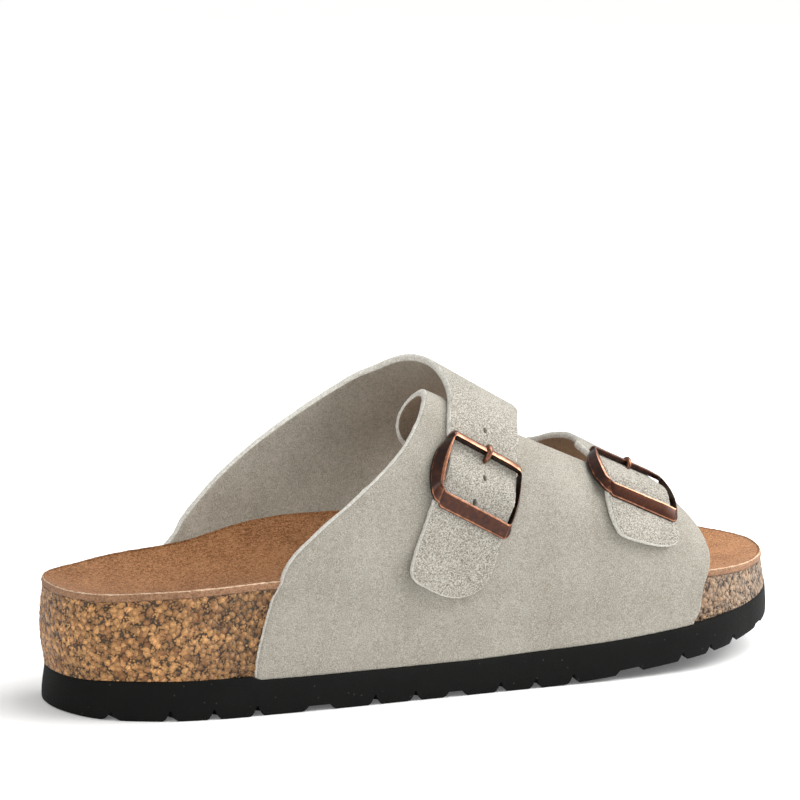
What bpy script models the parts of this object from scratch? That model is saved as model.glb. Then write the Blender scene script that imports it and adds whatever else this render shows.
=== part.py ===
# Open two-strap sandal, right shoe: cork footbed, suede upper, two buckles on the outer side.
# Lengths are millimetres in the shoe's own frame: x from the heel to the toe, y towards the
# inner side of the foot, z up from the floor. shoe_object() turns them into metres.

import bpy
import bmesh
import numpy as np
from math import pi


def table(columns, *rows):
    return np.array(list(rows), dtype=[(name, float) for name in columns.split()])


# Driving dimensions
SOLE_LENGTH = 257.5
HEEL_BACK = -1.0
# Middle of the whole shoe's box, on the floor
ORIGIN = (127.85, 1.945, 0.0)
CLEAR = 0.3
SUEDE = 2.5

# Sole seen from above, from the heel along the outer side to the toe and back
OUTLINE = table(
    "x y",
    (-1, 2), (4.4, -19.2), (19.5, -30.5), (57.5, -37), (102.5, -39.7), (147.5, -42), (182.5, -44.3),
    (212.5, -42.2), (237.5, -30.2), (252.5, -12), (257.5, 8.1), (252.5, 23.4), (237.5, 37.6),
    (209.5, 46.7), (182.5, 47.9), (147.5, 38.5), (107.5, 32.7), (62.5, 30), (19.5, 26.6), (4.9, 20),
)

# Outsole
SOLE_THICK = 12.2
SPRING_START = 150.0
SPRING_RISE = 12.0
SPRING_POWER = 1.35
TOP_START = 162.5
TOP_RISE = 9.4
TOP_POWER = 1.4
HEEL_BEVEL_LENGTH = 12.0
HEEL_BEVEL_RISE = 0.5
SOLE_DIP = 1.2
DIP_HEEL = 44.0
DIP_TOE = 165.0
DIP_FADE = 50.0
DIP_LAG = 12.0
LEDGE = 1.0
FLARE = 0.9
ZIGZAG = 3.5
ZIGZAG_FADE = 30.0
# Cross grooves of the tread, narrow ones in threes and then a wide shallow one, with the half
# widths of their mouth and of their floor
GROOVES = table(
    "x half flat depth",
    (8.5, 1.6, 0.3, 2.4), (22.5, 1.6, 0.3, 3.2), (34, 1.6, 0.3, 3.2), (47.5, 1.6, 0.3, 3.2),
    (68, 5.3, 4, 1.5), (87, 1.6, 0.3, 3.2), (101, 1.6, 0.3, 3.2), (115, 3.8, 2.6, 1.5),
    (131, 1.6, 0.3, 3.2), (143.5, 1.6, 0.3, 3.2), (157, 1.6, 0.3, 3.2), (177, 5.2, 4, 1.5),
    (197, 1.6, 0.3, 3), (208, 1.6, 0.3, 3), (219, 1.6, 0.3, 3), (236, 3, 2, 1.5),
)

# Rim of the footbed: top of its lining along the outer and the inner side
RIM = table(
    "x outer inner",
    (0, 38.4, 38.4), (19.5, 40.0, 39.0), (57.5, 41.2, 42.0), (107.5, 38.4, 47.6),
    (147.5, 35.6, 45.0), (182.5, 33.8, 39.4), (237.5, 31.5, 33.5), (257.5, 31.8, 31.8),
)
# Lowest line of the footbed, heel cup to toes
BED = table(
    "x height",
    (20, 31.5), (35, 30.5), (70, 31.5), (107, 32.5), (150, 29.5), (182, 27.0), (203, 27.6),
    (225, 27.0), (245, 28.6),
)
SPINE_HEEL = 34.0
SPINE_TOE = 224.0
BOWL_POWER = 2.3
BED_SHARES = (1.0, 0.72, 0.48, 0.3, 0.16, 0.06, 0.0)
LINING_THICK = 2.3
LINING_ROUND = 0.5
BED_INSET = table("x inset", (0, -0.8), (60, -0.6), (200, 0.8), (230, 1.3), (257.5, 1.7))
# How far the cork wall stands in below its rim, by its height, at the heel and at the toe
BED_WALL = table("level heel toe", (0.0, 0.6, -1.3), (0.33, -0.7, -1.0), (0.66, -0.9, -0.5))
BED_GAP = 0.4
BED_STATIONS = 34

# Stretch of the sole that the upper covers, and how the cork steps in to make room for it
PANEL_HEEL = 46.0
PANEL_TOE = 212.0
PANEL_STEP = 6.0
UPPER_PROUD = 0.6

# The last: ridge height, ridge place and where the arch springs from on each side
LAST = table(
    "x ridge ridge_y spring_outer spring_inner",
    (30, 138, 5, 41, 42), (60, 127, 5, 40, 44), (92.5, 116.2, 5, 38.5, 46), (124.5, 100.6, 5, 37, 46),
    (155.5, 85, 4, 35.5, 43), (183.5, 70.5, 3.5, 34, 39), (217.5, 54, 3, 32, 35), (247.5, 44, 3, 31, 33),
)
ARCH_POWER = 2.2

# Girth v runs -1.5 at the outer base, -1 at the outer rim, 0 on the ridge, 1.5 at the inner base
BASE_V = 1.5
OUTER_EDGE = table(
    "v rear front",
    (-1.5, 48.8, 203), (-1.4, 49.4, 205.5), (-1.25, 50.8, 206.5), (-1.15, 52, 207.2),
    (-1.02, 55.5, 209), (-0.96, 60, 209.6), (-0.9, 69.5, 210), (-0.82, 82.5, 209.6),
    (-0.74, 93, 209), (-0.66, 101, 208), (-0.58, 106.5, 206.6), (-0.52, 110, 205.4),
    (-0.43, 114, 203.4),
)
OUTER_SPLIT = table("v rear front", (-1.5, 105, 165), (-0.43, 145, 177))
INNER_EDGE = table(
    "v rear front",
    (0.44, 113, 212), (0.5, 109.4, 212), (0.59, 103.2, 211.6), (0.66, 96.2, 211.2), (0.74, 88.2, 210.6),
    (0.82, 76.6, 210), (0.9, 65, 209.6), (0.98, 53.5, 209.2), (1.04, 51, 208.8), (1.2, 50, 207.2),
    (1.4, 49.3, 205.5), (1.5, 49, 203),
)
INNER_SPLIT = table("v rear front", (0.44, 150, 181), (1.5, 118, 165))

# Straps from the inner panel over the ridge, one row for each cross section
REAR_STRAP = table(
    "x_rear v_rear x_front v_front",
    (113, 0.44, 150, 0.44), (118.3, 0.34, 152.4, 0.32), (122.7, 0.22, 154.8, 0.19),
    (126.2, 0.08, 156, 0.05), (128, -0.06, 155.2, -0.1), (127.6, -0.2, 152.3, -0.24),
    (125.6, -0.35, 147, -0.38),
)
FRONT_STRAP = table(
    "x_rear v_rear x_front v_front",
    (181, 0.44, 212, 0.44), (183.4, 0.3, 212, 0.3), (184, 0.15, 210.6, 0.15), (184, 0, 207.6, 0),
    (183, -0.13, 203.6, -0.13),
)
STRAP_ROWS = 10
STRAP_SINK = 0.4
STRAP_PROUD = 1.9
STRAP_COLUMNS = 6
GAP_COLUMNS = 4

# Where the straps pass through the buckles: place on the last, turn, bend and the strap's rows
BUCKLES = table("x v turn bend", (124.9, -0.735, 15, 57), (185.6, -0.52, -1, 40))
FAR_FROM_BUCKLE = 50.0
BUCKLE_NAMES = ("rear", "front")
HUMP = 1.5
HUMP_LENGTH = 4.5
REAR_TAIL = table(
    "along half",
    (16.5, 12), (12.5, 11), (8, 11), (4.5, 11), (0.6, 11), (-3.5, 11), (-8, 11), (-12.5, 11.6),
    (-17.5, 13), (-23, 13.8), (-28.8, 13.2), (-32.2, 11), (-34.2, 8), (-35.2, 4.5),
)
FRONT_TAIL = table(
    "along half",
    (15, 11.8), (12.5, 11), (8, 11), (4.5, 11), (0.6, 11), (-3.5, 11), (-8, 11), (-11.5, 11.6),
    (-13.8, 12.4), (-15.4, 11.6), (-16.3, 10), (-16.7, 7.5),
)

# Buckle frame about the opening that the strap passes through: bevelled bars, wide below
FRAME_HALF = 11.6
FRAME_TOP = 11.2
FRAME_BOTTOM = -8.3
FRAME_CORNER = 1.3
BAR_TOP_WIDTH = 1.7
BAR_LOW_WIDTH = 4.2
BAR_SIDE_WIDTH = table("along width", (-8.3, 2.4), (-1, 3.3), (4, 2.7), (11.2, 1.2))
SIDE_HEIGHT = 0.9
CROSS_HEIGHT = 2.6
FRAME_HEIGHT = table("along height", (-8.3, 4.6), (11.2, 4.0))
FRAME_BOW = 0.7
FRAME_LIP = 0.8
CENTRE_ALONG = 0.6
CENTRE_HEIGHT = 1.0
CENTRE_RADIUS = 1.0
TUNNEL = 0.3
# Prong from the centre bar through the strap's hole onto the top bar
PRONG = table(
    "along height radius",
    (2.2, 1.0, 0.8), (7.0, 1.2, 0.9), (8.9, 2.2, 0.9), (9.6, 3.8, 1.0), (10.4, 5.0, 1.1),
    (11.7, 5.6, 1.25), (12.9, 5.4, 1.25), (13.8, 4.6, 0.9),
)
PRONG_HOLE_ROWS = 5
PRONG_HOLE_START = 1.3

# Free tabs of the outer panel, which curl in under the straps
TAB_LENGTH = table("length radius", (35, 12.5), (24, 10))
TAB_ROWS = 7
TAB_LEAN = 0.3
TAB_DIP = 0.12
TAB_ROUND = 0.5
TAB_TIP = 0.4


def smooth(at, xs, ys):
    # Smooth curve through the points (xs, ys)
    slope = np.gradient(ys, xs)
    at = np.clip(at, xs[0], xs[-1])
    i = np.clip(np.searchsorted(xs, at) - 1, 0, len(xs) - 2)
    step = xs[i + 1] - xs[i]
    t = (at - xs[i]) / step
    start = (1 + 2 * t) * (1 - t) ** 2 * ys[i] + t * (1 - t) ** 2 * step * slope[i]
    end = t * t * (3 - 2 * t) * ys[i + 1] + t * t * (t - 1) * step * slope[i + 1]
    return start + end


def column(at, source, key, value):
    return smooth(at, source[key], source[value])


def ease(t):
    t = np.clip(t, 0, 1)
    return t * t * (3 - 2 * t)


def closed_curve(points, steps):
    # Smooth closed curve through the points, with its tangents
    before = points - np.roll(points, 1, axis=0)
    after = np.roll(points, -1, axis=0) - points
    d0 = np.linalg.norm(before, axis=1)[:, None]
    d1 = np.linalg.norm(after, axis=1)[:, None]
    slope = (before / d0 * d1 + after / d1 * d0) / (d0 + d1)
    t = np.linspace(0, 1, steps, endpoint=False)[None, :, None]
    p0, p1 = points[:, None], np.roll(points, -1, axis=0)[:, None]
    m0, m1 = (slope * d1)[:, None], (np.roll(slope, -1, axis=0) * d1)[:, None]
    curve = (1 + 2 * t) * (1 - t) ** 2 * p0 + t * (1 - t) ** 2 * m0 + t * t * (3 - 2 * t) * p1
    curve = (curve + t * t * (t - 1) * m1).reshape(-1, 2)
    tangent = np.roll(curve, -1, axis=0) - np.roll(curve, 1, axis=0)
    return curve, tangent / np.linalg.norm(tangent, axis=1)[:, None]


def outline_halves():
    curve, tangent = closed_curve(np.stack([OUTLINE["x"], OUTLINE["y"]], axis=1), 40)
    outward = np.stack([tangent[:, 1], -tangent[:, 0]], axis=1)
    rows = np.roll(np.hstack([curve, outward]), -np.argmin(curve[:, 0]), axis=0)
    toe = np.argmax(rows[:, 0])
    outer = rows[:toe + 1]
    inner = np.vstack([rows[toe:], rows[:1]])[::-1]
    return outer, inner


OUTER_HALF, INNER_HALF = outline_halves()


def edge(x, side, out=0.0):
    # Point of the sole's outline on the outer (-1) or inner (1) side, moved outwards
    half = OUTER_HALF if side < 0 else INNER_HALF
    px, py, nx, ny = (np.interp(x, half[:, 0], half[:, k]) for k in range(4))
    return np.stack([px + nx * out, py + ny * out], axis=-1)


def spring(x):
    # Underside of the sole: flat from heel to ball, raised towards the toe and behind the heel
    toe = np.clip((x - SPRING_START) / (SOLE_LENGTH - SPRING_START), 0, 1) ** SPRING_POWER
    heel = np.clip(1 - x / HEEL_BEVEL_LENGTH, 0, 1) ** 2
    return SPRING_RISE * toe, HEEL_BEVEL_RISE * heel


def sole_top(x, lag=0.0):
    # Top of the outsole; the footbed follows its dip a little further forward
    dip = SOLE_DIP * ease((x - DIP_HEEL - lag) / PANEL_STEP) * ease((DIP_TOE - x) / DIP_FADE)
    rise = np.clip((x - TOP_START) / (SOLE_LENGTH - TOP_START), 0, 1) ** TOP_POWER
    return SOLE_THICK + TOP_RISE * rise - dip


def panel_zone(x, step=PANEL_STEP):
    # 1 along the stretch that the upper covers, 0 at the heel and the toe
    return ease((x - PANEL_HEEL + step) / step) * ease((PANEL_TOE + step - x) / step)


def stations(count):
    span = SOLE_LENGTH - HEEL_BACK
    return HEEL_BACK + span / 2 * (1 - np.cos(np.linspace(0, pi, count + 1)))


def shoe_mesh(name, points, faces):
    mesh = bpy.data.meshes.new(name)
    metres = (np.asarray(points) - ORIGIN) * 0.001
    mesh.from_pydata([tuple(map(float, p)) for p in metres], [], [tuple(map(int, f)) for f in faces])
    shape = bmesh.new()
    shape.from_mesh(mesh)
    bmesh.ops.remove_doubles(shape, verts=shape.verts, dist=1e-7)
    bmesh.ops.dissolve_degenerate(shape, dist=1e-7, edges=shape.edges)
    bmesh.ops.recalc_face_normals(shape, faces=shape.faces)
    shape.to_mesh(mesh)
    shape.free()
    mesh.shade_smooth()
    mesh.set_sharp_from_angle(angle=0.6)
    return mesh


def shoe_object(name, points, faces, material):
    thing = bpy.data.objects.new(name, shoe_mesh(name, points, faces))
    bpy.context.scene.collection.objects.link(thing)
    thing.data.materials.append(material)
    return thing


def finish(name, colour, roughness, metallic=0.0):
    material = bpy.data.materials.new(name)
    material.use_nodes = True
    shader = material.node_tree.nodes["Principled BSDF"]
    shader.inputs["Base Color"].default_value = (*colour, 1)
    shader.inputs["Roughness"].default_value = roughness
    shader.inputs["Metallic"].default_value = metallic
    return material


def ring_faces(rings, around):
    # Quads between closed rings of equal length, one after the other
    faces = []
    for r in range(rings - 1):
        for k in range(around):
            n = (k + 1) % around
            faces.append((r * around + k, r * around + n, (r + 1) * around + n, (r + 1) * around + k))
    return faces


def around_sole(x, maker):
    # One closed ring: the outer side from heel to toe, then the inner side back
    outer = maker(x, -1)
    inner = maker(x, 1)
    return np.vstack([outer, inner[-2:0:-1]])


def build_outsole(material):
    mouths = np.concatenate([GROOVES["x"] - GROOVES["half"], GROOVES["x"] + GROOVES["half"]])
    floors = np.concatenate([GROOVES["x"] - GROOVES["flat"], GROOVES["x"] + GROOVES["flat"]])
    ends = stations(32)
    ends = ends[(ends < mouths.min() - 1) | (ends > mouths.max() + 2)]
    rows = np.sort(np.concatenate([ends, mouths, floors]))
    across = np.linspace(-1, 1, 9)
    wave = ZIGZAG * np.array([0, 1, -1, 1, -1, 1, -1, 1, 0])
    tops = np.linspace(1, -1, 5)
    points = []
    for x in rows:
        toe_rise, heel_rise = spring(x)
        depth = np.sum(GROOVES["depth"] * (np.abs(x - GROOVES["x"]) < GROOVES["flat"] + 0.01))
        fade = ease((x - 12) / ZIGZAG_FADE) * ease((SOLE_LENGTH - 12 - x) / ZIGZAG_FADE)
        ledge = LEDGE * panel_zone(x, 20)
        low = [edge(x, side, FLARE * 0.4 + ledge) for side in (-1, 1)]
        mid = [edge(x, side, FLARE + ledge) for side in (-1, 1)]
        high = [edge(x, side, ledge) for side in (-1, 1)]
        floor = toe_rise + heel_rise + depth
        rise = sole_top(x)
        for w, shift in zip(across, wave * fade):
            p = low[0] + (low[1] - low[0]) * (w + 1) / 2
            points.append((p[0] + shift, p[1], floor))
        points.append((*mid[1], floor + (rise - floor) * 0.25))
        points.append((*mid[1], floor + (rise - floor) * 0.7))
        for w in tops:
            p = high[0] + (high[1] - high[0]) * (w + 1) / 2
            points.append((*p, rise))
        points.append((*mid[0], floor + (rise - floor) * 0.7))
        points.append((*mid[0], floor + (rise - floor) * 0.25))
    around = len(across) + len(tops) + 4
    faces = ring_faces(len(rows), around)
    faces.append(range(around))
    faces.append(range(len(points) - around, len(points)))
    return shoe_object("outsole", points, faces, material)


def bed_inset(x):
    covered = SUEDE - UPPER_PROUD + CLEAR
    free = column(x, BED_INSET, "x", "inset")
    return free + (covered - free) * panel_zone(x)


def bed_ring(x, side, share, drop):
    # Ring of the footbed's top: share 0 is its rim, share 1 the line along its middle
    rim = edge(x, side, -bed_inset(x))
    middle = np.clip(x, SPINE_HEEL, SPINE_TOE)
    spine = (edge(middle, -1) + edge(middle, 1)) / 2
    spine[:, 0] = middle
    plan = rim + (spine - rim) * share
    low = column(plan[:, 0], BED, "x", "height")
    top = column(x, RIM, "x", "outer" if side < 0 else "inner")
    height = low + (top - low) * (1 - share) ** BOWL_POWER - drop
    return np.column_stack([plan, height])


def bed_stations():
    return np.sort(np.append(stations(BED_STATIONS), (PANEL_HEEL, PANEL_TOE)))


def build_lining(material):
    x = bed_stations()
    drops = [(share, 0.0) for share in BED_SHARES[:-1]] + [(0.012, 0.05), (0.0, LINING_ROUND)]
    drops += [(share, LINING_THICK) for share in BED_SHARES[::-1]]
    rings = [around_sole(x, lambda s, side: bed_ring(s, side, *row)) for row in drops]
    return shoe_object("footbed_lining", np.vstack(rings), ring_faces(len(rings), len(rings[0])), material)


def build_footbed(material):
    x = bed_stations()
    drop = LINING_THICK + BED_GAP
    rings = [around_sole(x, lambda s, side: bed_ring(s, side, share, drop)) for share in BED_SHARES]

    def wall(level, heel, toe):
        def maker(s, side):
            waist = np.where(s < SOLE_LENGTH / 2, heel, toe)
            out = -bed_inset(s) - waist * (1 - panel_zone(s))
            floor = sole_top(s, DIP_LAG) + CLEAR
            top = bed_ring(s, side, 0.0, drop)[:, 2]
            return np.column_stack([edge(s, side, out), floor + (top - floor) * level])
        return around_sole(x, maker)

    rings += [wall(*row) for row in BED_WALL[::-1]]

    def floor_ring(s, side):
        ring = bed_ring(s, side, 1.0, 0.0)
        ring[:, 2] = sole_top(ring[:, 0], DIP_LAG) + CLEAR
        return ring

    rings.append(around_sole(x, floor_ring))
    return shoe_object("footbed", np.vstack(rings), ring_faces(len(rings), len(rings[0])), material)


def last_point(x, v):
    # Outer face of the upper: sole outline at the base, an arch over the foot above the rim
    x = np.asarray(x, float)
    v = np.asarray(v, float)
    ridge = column(x, LAST, "x", "ridge")
    ridge_y = column(x, LAST, "x", "ridge_y")
    outer = v < 0
    foot = np.where(outer[..., None], edge(x, -1, UPPER_PROUD), edge(x, 1, UPPER_PROUD))[..., 1]
    low = np.where(outer, column(x, LAST, "x", "spring_outer"), column(x, LAST, "x", "spring_inner"))
    turn = np.clip(np.abs(v), 0, 1) * pi / 2
    y = ridge_y + (foot - ridge_y) * np.sin(turn) ** (2 / ARCH_POWER)
    z = low + (ridge - low) * np.cos(turn) ** (2 / ARCH_POWER)
    under = np.clip((np.abs(v) - 1) / (BASE_V - 1), 0, 1)
    z = z + (sole_top(x) + CLEAR - low) * under
    return np.stack([x, y, z], axis=-1)


def unit(vectors):
    return vectors / np.linalg.norm(vectors, axis=-1, keepdims=True)


def last_frame(x, v):
    # Directions along the shoe, over the foot and out of the surface
    along = unit(last_point(x + 0.5, v) - last_point(x - 0.5, v))
    over = unit(last_point(x, v + 0.01) - last_point(x, v - 0.01))
    out = unit(np.cross(along, over))
    return along, np.cross(out, along), out


def buckle_seat(row):
    # Local frame of a buckle: across the strap, up the strap, out of the upper
    x, v = np.array(row["x"]), np.array(row["v"])
    along, over, out = last_frame(x, v)
    turn = np.radians(row["turn"])
    across = along * np.cos(turn) - over * np.sin(turn)
    return last_point(x, v), across, np.cross(out, across), out


def find_on_last(row, u, a):
    # Place on the last that lies u across and a along the strap from a buckle's middle
    centre, across, up, out = buckle_seat(row)
    radius = row["bend"]
    x, v = np.full_like(u, row["x"]), np.full_like(u, row["v"])
    goal = np.stack([u, radius * np.sin(a / radius)])
    for _ in range(12):
        def miss(px, pv):
            d = last_point(px, pv) - centre
            return np.stack([d @ across, d @ up]) - goal
        here = miss(x, v)
        dx = (miss(x + 0.5, v) - here) / 0.5
        dv = (miss(x, v + 0.01) - here) / 0.01
        det = dx[0] * dv[1] - dx[1] * dv[0]
        x = x - (here[0] * dv[1] - here[1] * dv[0]) / det
        v = v - (dx[0] * here[1] - dx[1] * here[0]) / det
    return x, v


def grid_quads(ids):
    rows, columns = ids.shape
    return [
        (ids[r, c], ids[r, c + 1], ids[r + 1, c + 1], ids[r + 1, c])
        for r in range(rows - 1) for c in range(columns - 1)
    ]


def solid_wall(name, outer, inner, quads, material):
    # Closed wall between two sheets of points that share their quads
    count = len(outer)
    faces = list(quads) + [tuple(count + i for i in quad[::-1]) for quad in quads]
    sides = {}
    for quad in quads:
        for k in range(4):
            pair = (quad[k], quad[(k + 1) % 4])
            if pair[::-1] in sides:
                del sides[pair[::-1]]
            else:
                sides[pair] = True
    faces += [(b, a, count + a, count + b) for a, b in sides]
    return shoe_object(name, np.vstack([outer, inner]), faces, material)


def spread(left, right, columns):
    return left + (right - left) * np.linspace(0, 1, columns + 1)


def body_columns(rows, edges, split):
    # Stations of a panel's columns, row by row: rear tab, gap between the tabs, front tab
    grid = []
    for v in rows:
        a, d = (column(v, edges, "v", key) for key in ("rear", "front"))
        b, c = (column(v, split, "v", key) for key in ("rear", "front"))
        row = [spread(a, b, STRAP_COLUMNS), spread(b, c, GAP_COLUMNS)[1:], spread(c, d, STRAP_COLUMNS)[1:]]
        grid.append(np.concatenate(row))
    return np.array(grid)


REAR_SLICE = slice(0, STRAP_COLUMNS + 1)
FRONT_SLICE = slice(STRAP_COLUMNS + GAP_COLUMNS, 2 * STRAP_COLUMNS + GAP_COLUMNS + 1)


def build_outer_panel(material):
    rows = OUTER_EDGE["v"]
    x = body_columns(rows, OUTER_EDGE, OUTER_SPLIT)
    v = np.repeat(rows[:, None], x.shape[1], axis=1)
    outer = [last_point(x, v).reshape(-1, 3)]
    inner = [outer[0] - SUEDE * last_frame(x, v)[2].reshape(-1, 3)]
    ids = np.arange(x.size).reshape(x.shape)
    quads = grid_quads(ids)
    total = x.size
    for tab, part in zip(TAB_LENGTH, (REAR_SLICE, FRONT_SLICE)):
        along, over, out = last_frame(x[-1, part], v[-1, part])
        travel = unit(over + TAB_LEAN * along - TAB_DIP * out)
        out = unit(out + TAB_DIP * over)
        base = last_point(x[-1, part], v[-1, part])
        tab_ids = [ids[-1, part]]
        for share in np.linspace(0, 1, TAB_ROWS + 1)[1:]:
            turn = share * tab["length"] / tab["radius"]
            sheet = base + tab["radius"] * (np.sin(turn) * travel - (1 - np.cos(turn)) * out)
            normal = np.cos(turn) * out + np.sin(turn) * travel
            corner = np.clip((share - 1 + TAB_ROUND) / TAB_ROUND, 0, 1)
            width = TAB_TIP + (1 - TAB_TIP) * np.sqrt(1 - corner ** 2.5)
            middle = sheet.mean(axis=0)
            sheet = middle + (sheet - middle) * width
            outer.append(sheet)
            inner.append(sheet - SUEDE * normal)
            tab_ids.append(np.arange(total, total + len(sheet)))
            total += len(sheet)
        quads += grid_quads(np.array(tab_ids))
    return solid_wall("upper", np.vstack(outer), np.vstack(inner), quads, material)


def strap_rows(buckle, over_ridge, tail):
    # Rows of one strap after the inner panel: over the ridge, through the buckle, tail
    x, v, along = [], [], []
    place = np.arange(len(over_ridge), dtype=float)
    for at in np.linspace(0, place[-1], STRAP_ROWS + 1)[1:]:
        ends = [smooth(at, place, over_ridge[key]) for key in over_ridge.dtype.names]
        x.append(spread(ends[0], ends[2], STRAP_COLUMNS))
        v.append(spread(ends[1], ends[3], STRAP_COLUMNS))
        along.append(np.full(STRAP_COLUMNS + 1, FAR_FROM_BUCKLE))
    for row in tail:
        across = spread(-row["half"], row["half"], STRAP_COLUMNS)
        px, pv = find_on_last(buckle, across, np.full_like(across, row["along"]))
        x.append(px)
        v.append(pv)
        along.append(np.full(STRAP_COLUMNS + 1, row["along"]))
    return np.array(x), np.array(v), np.array(along)


def build_straps(material):
    rows = INNER_EDGE["v"][::-1]
    x = body_columns(rows, INNER_EDGE, INNER_SPLIT)
    v = np.repeat(rows[:, None], x.shape[1], axis=1)
    ids = np.arange(x.size).reshape(x.shape)
    quads = grid_quads(ids)
    all_x, all_v, all_along = [x.ravel()], [v.ravel()], [np.full(x.size, FAR_FROM_BUCKLE)]
    total = x.size
    plans = zip(BUCKLES, (REAR_STRAP, FRONT_STRAP), (REAR_TAIL, FRONT_TAIL), (REAR_SLICE, FRONT_SLICE))
    for buckle, over_ridge, tail, part in plans:
        sx, sv, along = strap_rows(buckle, over_ridge, tail)
        strap_ids = np.arange(total, total + sx.size).reshape(sx.shape)
        quads += grid_quads(np.vstack([ids[-1:, part], strap_ids]))
        all_x.append(sx.ravel())
        all_v.append(sv.ravel())
        all_along.append(along.ravel())
        total += sx.size
    x, v, along = np.concatenate(all_x), np.concatenate(all_v), np.concatenate(all_along)
    sheet = last_point(x, v)
    normal = last_frame(x, v)[2]
    layer = ease((0.4 - v) / 0.5)
    hump = HUMP * np.exp(-((along - CENTRE_ALONG) / HUMP_LENGTH) ** 2)
    outer = sheet + normal * (layer * STRAP_PROUD + hump)[:, None]
    inner = sheet - normal * (SUEDE + (STRAP_SINK - SUEDE) * layer)[:, None]
    return as_tool(solid_wall("straps", outer, inner, quads, material))


def local_point(row, u, a, h):
    # Point in a buckle's frame: u across, a along the bent strap, h out of the upper
    x, v = find_on_last(row, u, a)
    return last_point(x, v) + last_frame(x, v)[2] * h[:, None]


def frame_path():
    # Inner edge of the buckle's frame with its outward direction, corner by corner
    path = []
    corners = ((1, 1), (-1, 1), (-1, -1), (1, -1))
    steps = (3, 5, 3, 5)
    for k, (su, sa) in enumerate(corners):
        end = FRAME_TOP if sa > 0 else FRAME_BOTTOM
        middle = (su * (FRAME_HALF - FRAME_CORNER), end - sa * FRAME_CORNER)
        turns = np.linspace(k * pi / 2, (k + 1) * pi / 2, 5)
        arc = [(middle[0] + FRAME_CORNER * np.cos(t), middle[1] + FRAME_CORNER * np.sin(t),
                np.cos(t), np.sin(t)) for t in turns]
        path += arc
        nu, na = corners[(k + 1) % 4]
        far = FRAME_TOP if na > 0 else FRAME_BOTTOM
        goal = np.array((nu * (FRAME_HALF - FRAME_CORNER), far - na * FRAME_CORNER)) + (
            FRAME_CORNER * np.array((np.cos(turns[-1]), np.sin(turns[-1]))))
        here = np.array(arc[-1][:2])
        for t in np.linspace(0, 1, steps[k] + 1)[1:-1]:
            path.append((*(here + (goal - here) * t), np.cos(turns[-1]), np.sin(turns[-1])))
    return np.array(path)


def build_buckle(name, row, material):
    rings = []
    for u, a, out_u, out_a in frame_path():
        side = column(a, BAR_SIDE_WIDTH, "along", "width")
        cross = BAR_TOP_WIDTH if out_a > 0 else BAR_LOW_WIDTH
        over_strap = np.abs(out_a) > 0.25
        base = CROSS_HEIGHT if over_strap else SIDE_HEIGHT
        middle = 1 - ((a - CENTRE_ALONG) / (FRAME_TOP - CENTRE_ALONG)) ** 2
        top = column(a, FRAME_HEIGHT, "along", "height") + FRAME_BOW * np.clip(middle, 0, 1)
        section = ((0, base), (1, base), (1, base + FRAME_LIP), (0.25, top), (0, top - 0.4))
        ring = [(u + out_u * side * r, a + out_a * cross * r, h) for r, h in section]
        rings.append(local_point(row, *np.array(ring).T))
    around = len(rings[0])
    count = len(rings)
    faces = ring_faces(count, around)
    last = (count - 1) * around
    faces += [(last + k, last + (k + 1) % around, (k + 1) % around, k) for k in range(around)]
    frame = shoe_object(f"buckle_{name}", np.vstack(rings), faces, material)
    half = FRAME_HALF + 0.6
    add_boolean(frame, "UNION", centre_bar(f"bar_{name}", row, half, CENTRE_RADIUS, material))
    return frame


def tube(name, path, radii, side, material):
    # Closed round tube of eight sides along a short path in the plane square to side
    turns = np.linspace(0, 2 * pi, 9)[:-1, None]
    heading = unit(np.gradient(path, axis=0))
    rings = [p + r * (np.cos(turns) * side + np.sin(turns) * np.cross(h, side))
             for p, r, h in zip(path, radii, heading)]
    faces = ring_faces(len(rings), 8)
    faces.append(range(8))
    faces.append(range(len(rings) * 8 - 8, len(rings) * 8))
    return shoe_object(name, np.vstack(rings), faces, material)


def centre_bar(name, row, half, radius, material):
    u = np.linspace(-half, half, 3)
    path = local_point(row, u, np.full(3, CENTRE_ALONG), np.full(3, CENTRE_HEIGHT))
    return as_tool(tube(name, path, np.full(3, radius), buckle_seat(row)[2], material))


def build_prong(name, row, rows, gap, material):
    path = local_point(row, np.zeros(len(rows)), rows["along"], rows["height"])
    return tube(name, path, rows["radius"] + gap, buckle_seat(row)[1], material)


def as_tool(thing):
    thing.hide_render = True
    thing.display_type = "WIRE"
    return thing


def add_boolean(thing, operation, tool):
    step = thing.modifiers.new(tool.name, "BOOLEAN")
    step.operation = operation
    step.object = tool


def build_upper(material):
    upper = build_outer_panel(material)
    add_boolean(upper, "UNION", build_straps(material))
    for name, row in zip(BUCKLE_NAMES, BUCKLES):
        half = FRAME_HALF + 3
        add_boolean(upper, "DIFFERENCE",
                    centre_bar(f"tunnel_{name}", row, half, CENTRE_RADIUS + TUNNEL, material))
        rows = PRONG[:PRONG_HOLE_ROWS].copy()
        rows["along"][0] = PRONG_HOLE_START
        add_boolean(upper, "DIFFERENCE", as_tool(build_prong(f"hole_{name}", row, rows, TUNNEL, material)))
    return upper


for leftover in list(bpy.data.objects):
    bpy.data.objects.remove(leftover)

black_eva = finish("black_eva", (0.012, 0.012, 0.013), 0.75)
cork = finish("cork", (0.42, 0.24, 0.10), 0.85)
tan_suede = finish("tan_suede", (0.50, 0.27, 0.11), 0.9)
grey_suede = finish("grey_suede", (0.47, 0.45, 0.41), 0.95)
antique_copper = finish("antique_copper", (0.25, 0.11, 0.06), 0.35, 1.0)

build_outsole(black_eva)
build_footbed(cork)
build_lining(tan_suede)
build_upper(grey_suede)
for buckle_name, buckle_row in zip(BUCKLE_NAMES, BUCKLES):
    build_buckle(buckle_name, buckle_row, antique_copper)
    build_prong(f"prong_{buckle_name}", buckle_row, PRONG, 0.0, antique_copper)
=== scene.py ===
from math import pi, radians

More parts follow.
